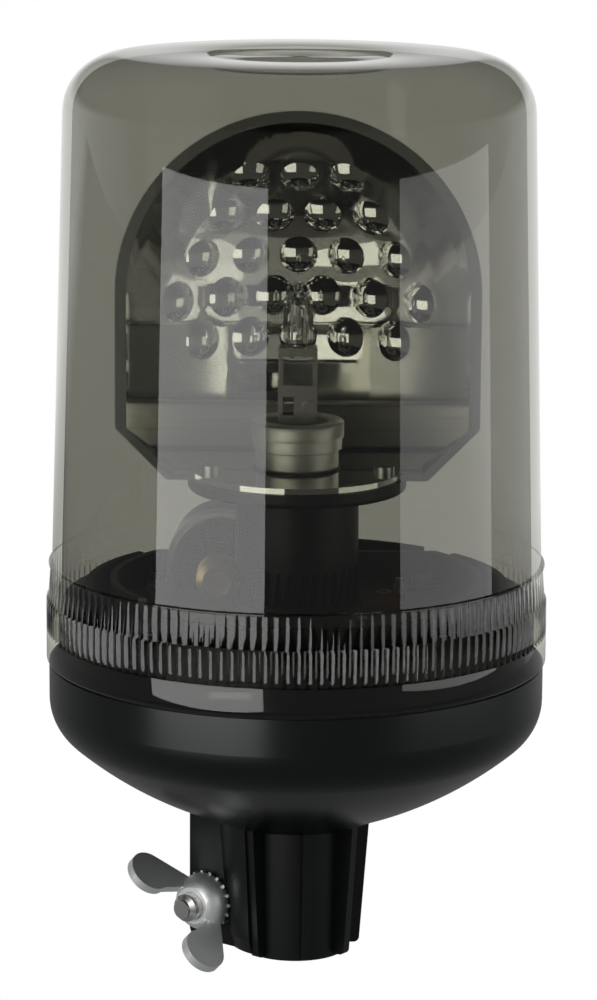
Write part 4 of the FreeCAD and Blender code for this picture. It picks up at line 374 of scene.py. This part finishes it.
class BEACON_OT_dome(bpy.types.Operator):
    """Dome: rim, ribbed band, drafted wall, rounded top with its recess, and bayonet lugs"""
    bl_idname = "beacon.dome"
    bl_label = "Dome"

    def execute(self, context):
        size = context.scene.beacon_dome
        top = DOME_HIGH.z / MM
        foot = DOME_LOW.z / MM
        wall = size.wall / MM
        lean = math.tan(size.draft)
        corner = size.corner / MM
        rim_in, rim_out, valley, bead, wall_foot = 67.75, 71.2, 69.9, 70.5, 69.5
        rim_top, band_foot, band_step, band_top, bead_top, wall_low = 94.8, 95.2, 104.7, 114.2, 114.95, 115.1
        recess, recess_depth, gate, skirt_top = 25.0, 0.8, 1.8, 106.5
        shoulder = wall_foot - (top - wall_low) * lean
        inside = top - recess_depth - wall
        shape = section([
            (rim_in, foot, 0.3), (rim_out, foot, 1.2), (rim_out, rim_top, 0.3), (valley, band_foot, 0),
            (valley, band_step, 0), (valley, band_step + 0.5, 0), (valley, band_top, 0), (bead, band_top + 0.1, 0.25),
            (bead, bead_top, 0.25), (wall_foot, wall_low, 0), (shoulder, top, corner), (recess + 1, top, 0.4),
            (recess, top - recess_depth, 0.4), (gate + 0.4, top - recess_depth, 0), (gate, top - 0.4, 0),
            (0, top - 0.4, 0), (0, inside, 0), (recess, inside, 0.4), (recess + 1, top - wall, 0.4),
            (shoulder - wall, top - wall, corner - wall),
            (wall_foot - wall + 7 * lean, skirt_top + 1.5, 0.8), (rim_in, skirt_top, 0.8)])
        turn_round(shape, size.ribs * 4)
        self.ribs(shape, size, valley, band_foot - 0.1, band_top - 0.1)
        self.lugs(shape)
        new_piece("dome_shell", shape, smoked_polycarbonate(), "dome", "smoked_clear", "dome", sharp=50)
        return {"FINISHED"}

    def ribs(self, shape, size, valley, low, high):
        """Raise the ribs of the grip band: four edges to a rib, its crown rounded."""
        crown = (0, 0.8, 1, 0.8)
        for vert in shape.verts:
            radius = math.hypot(vert.co.x, vert.co.y) / MM
            if abs(radius - valley) < 0.05 and low < vert.co.z / MM < high:
                step = round(math.atan2(vert.co.y, vert.co.x) / math.tau * size.ribs * 4) % 4
                reach = size.rib_low if vert.co.z / MM < 105 else size.rib_high
                grow = 1 + crown[step] * reach / MM / radius
                vert.co.x *= grow
                vert.co.y *= grow

    def lugs(self, shape):
        """Four bayonet lugs inside the rim, each rising with the pitch of the ramps."""
        inner, outer, foot, top = (size * MM for size in (66.65, 68.25, 90.25, 92.25))
        pitch, span, steps = 24 * MM, math.radians(10), 5
        for start in (340, 70, 160, 250):
            lug = bmesh.new()
            corners = [lug.verts.new((radius, 0, height))
                       for radius, height in ((inner, foot), (outer, foot), (outer, top), (inner, top))]
            lug.faces.new(corners)
            bmesh.ops.rotate(lug, verts=lug.verts, cent=(0, 0, 0), matrix=Matrix.Rotation(math.radians(start), 3, "Z"))
            bmesh.ops.spin(lug, geom=lug.verts[:] + lug.edges[:] + lug.faces[:], axis=(0, 0, 1), cent=(0, 0, 0),
                           dvec=(0, 0, pitch * span / math.tau / steps), steps=steps, angle=span)
            bmesh.ops.recalc_face_normals(lug, faces=lug.faces)
            mesh = bpy.data.meshes.new("bayonet lug")
            lug.to_mesh(mesh)
            lug.free()
            shape.from_mesh(mesh)
            bpy.data.meshes.remove(mesh)


class BEACON_OT_studio(bpy.types.Operator):
    """Floor, surroundings, lights and camera"""
    bl_idname = "beacon.studio"
    bl_label = "Studio"

    def execute(self, context):
        scene = context.scene
        settings = scene.beacon_studio
        scene.view_settings.view_transform = "Standard"
        self.surroundings(scene)
        self.floor()
        self.panels()
        self.camera(scene, settings)
        return {"FINISHED"}

    def surroundings(self, scene):
        """White behind the beacon; for reflections the room in front is dark."""
        world = bpy.data.worlds.new("studio")
        world.use_nodes = True
        scene.world = world
        tree = world.node_tree
        tree.nodes.clear()
        path = add_node(tree, "ShaderNodeLightPath")
        place = add_node(tree, "ShaderNodeTexCoord")
        axes = add_node(tree, "ShaderNodeSeparateXYZ", {0: place.outputs["Generated"]})
        behind = add_node(tree, "ShaderNodeMapRange", {"Value": axes.outputs["Y"], "From Min": -0.15,
                                                       "From Max": 0.6, "To Min": 0.18, "To Max": 0.85})
        low = add_node(tree, "ShaderNodeMapRange", {"Value": axes.outputs["Z"], "From Min": 0.05,
                                                    "From Max": 0.17, "To Min": 1.0, "To Max": 0.12})
        room = add_node(tree, "ShaderNodeMath", {0: behind.outputs[0], 1: low.outputs[0]}, operation="MULTIPLY")
        mirrored = add_node(tree, "ShaderNodeMix", {"Factor": path.outputs["Is Glossy Ray"], "A": 0.55,
                                                    "B": room.outputs[0]})
        seen = add_node(tree, "ShaderNodeMath", {0: path.outputs["Is Camera Ray"],
                                                 1: path.outputs["Is Transmission Ray"]}, operation="MAXIMUM")
        level = add_node(tree, "ShaderNodeMix", {"Factor": seen.outputs[0], "A": mirrored.outputs[0], "B": 1.0})
        back = add_node(tree, "ShaderNodeBackground", {"Color": (1, 1, 1, 1), "Strength": level.outputs[0]})
        output = add_node(tree, "ShaderNodeOutputWorld")
        tree.links.new(back.outputs[0], output.inputs["Surface"])

    def floor(self):
        """White floor. Reflections show it dim in front and to the left, and bright behind and to the right."""
        material, tree, output = new_material("white floor")
        path = add_node(tree, "ShaderNodeLightPath")
        seen = add_node(tree, "ShaderNodeMath", {0: path.outputs["Is Camera Ray"],
                                                 1: path.outputs["Is Transmission Ray"]}, operation="MAXIMUM")
        share = add_node(tree, "ShaderNodeMath", {0: path.outputs["Is Glossy Ray"], 1: seen.outputs[0]},
                         operation="MAXIMUM")
        place = add_node(tree, "ShaderNodeTexCoord")
        axes = add_node(tree, "ShaderNodeSeparateXYZ", {0: place.outputs["Object"]})
        lean = add_node(tree, "ShaderNodeMath", {0: axes.outputs["X"], 1: 0.5, 2: axes.outputs["Y"]},
                        operation="MULTIPLY_ADD")
        mirrored = add_node(tree, "ShaderNodeMapRange", {"Value": lean.outputs[0], "From Min": 0.35,
                                                         "From Max": 0.8, "To Min": 0.22, "To Max": 0.9})
        level = add_node(tree, "ShaderNodeMath", {0: mirrored.outputs[0], 1: seen.outputs[0]}, operation="MAXIMUM")
        paint = add_node(tree, "ShaderNodeBsdfDiffuse", {"Color": (1, 1, 1, 1)})
        glow = add_node(tree, "ShaderNodeEmission", {"Color": (1, 1, 1, 1), "Strength": level.outputs[0]})
        mix = add_node(tree, "ShaderNodeMixShader", {0: share.outputs[0], 1: paint.outputs[0], 2: glow.outputs[0]})
        tree.links.new(mix.outputs[0], output.inputs["Surface"])
        mesh = bpy.data.meshes.new("floor")
        sheet = bmesh.new()
        bmesh.ops.create_grid(sheet, x_segments=1, y_segments=1, size=4.0)
        bmesh.ops.translate(sheet, verts=sheet.verts, vec=(0, 0, FRAME_BOUNDS[0][2] - 1 * MM))
        sheet.to_mesh(mesh)
        sheet.free()
        floor = bpy.data.objects.new("floor", mesh)
        floor.data.materials.append(material)
        bpy.context.scene.collection.objects.link(floor)

    def panels(self):
        """Soft boxes: each has a place, a point it faces, width, height, power and what it lights."""
        for name, place, aim, width, height, power, glossy_only in (
                ("left soft box", (-0.212, -0.260, 0.114), (0, 0.1, 0.114), 0.31, 0.228, 0.9, True),
                ("right soft box", (0.308, -0.118, 0.129), (0, 0, 0.129), 0.308, 0.198, 0.37, True),
                ("left key", (-0.9, -0.9, 0.9), (0, 0, 0.13), 0.6, 0.6, 6.0, False),
                ("right fill", (1.0, -0.7, 0.5), (0, 0, 0.13), 0.6, 0.6, 3.0, False)):
            lamp = bpy.data.lights.new(name, "AREA")
            lamp.shape = "RECTANGLE"
            lamp.size = width
            lamp.size_y = height
            lamp.energy = power
            holder = bpy.data.objects.new(name, lamp)
            holder.location = place
            holder.rotation_euler = (Vector(aim) - Vector(place)).to_track_quat("-Z", "Y").to_euler()
            holder.visible_camera = False
            holder.visible_diffuse = not glossy_only
            holder.visible_glossy = glossy_only
            bpy.context.scene.collection.objects.link(holder)

    def camera(self, scene, settings):
        """Camera in front of the beacon, tilted down on it."""
        data = bpy.data.cameras.new("camera")
        data.lens = settings.lens
        data.sensor_width = 36
        data.clip_end = 50
        camera = bpy.data.objects.new("camera", data)
        place = Matrix.Translation((settings.offset, -settings.distance, settings.height))
        tilt = Matrix.Rotation(math.pi / 2 - settings.tilt, 4, "X")
        roll = Matrix.Rotation(settings.roll, 4, "Z")
        camera.matrix_world = place @ tilt @ roll
        scene.collection.objects.link(camera)
        scene.camera = camera


class BEACON_PT_panel(bpy.types.Panel):
    """The beacon's pieces"""
    bl_idname = "BEACON_PT_panel"
    bl_label = "Rotating Beacon"
    bl_space_type = "VIEW_3D"
    bl_region_type = "UI"
    bl_category = "Beacon"

    def draw(self, context):
        for operator in OPERATORS:
            self.layout.operator(operator.bl_idname)
        for group in GROUPS:
            settings = getattr(context.scene, group)
            for name in settings.bl_rna.properties.keys():
                if name not in ("rna_type", "name"):
                    self.layout.prop(settings, name)


# ---------------------------------------------------------------------------------- running

OPERATORS = (BEACON_OT_housing, BEACON_OT_clamp, BEACON_OT_chassis, BEACON_OT_rotor, BEACON_OT_lamp,
             BEACON_OT_dome, BEACON_OT_studio)
GROUPS = {"beacon_dome": BeaconDome, "beacon_studio": BeaconStudio}


def register():
    for group in GROUPS.values():
        bpy.utils.register_class(group)
    for name, group in GROUPS.items():
        setattr(bpy.types.Scene, name, bpy.props.PointerProperty(type=group))
    for item in (*OPERATORS, BEACON_PT_panel):
        bpy.utils.register_class(item)


def unregister():
    for item in (BEACON_PT_panel, *reversed(OPERATORS)):
        bpy.utils.unregister_class(item)
    for name in GROUPS:
        delattr(bpy.types.Scene, name)
    for group in GROUPS.values():
        bpy.utils.unregister_class(group)


def main():
    """Build every piece in order."""
    register()
    bpy.ops.beacon.housing()
    bpy.ops.beacon.clamp()
    bpy.ops.beacon.chassis()
    bpy.ops.beacon.rotor()
    bpy.ops.beacon.lamp()
    bpy.ops.beacon.dome()
    bpy.ops.beacon.studio()


if __name__ == "__main__":
    main()
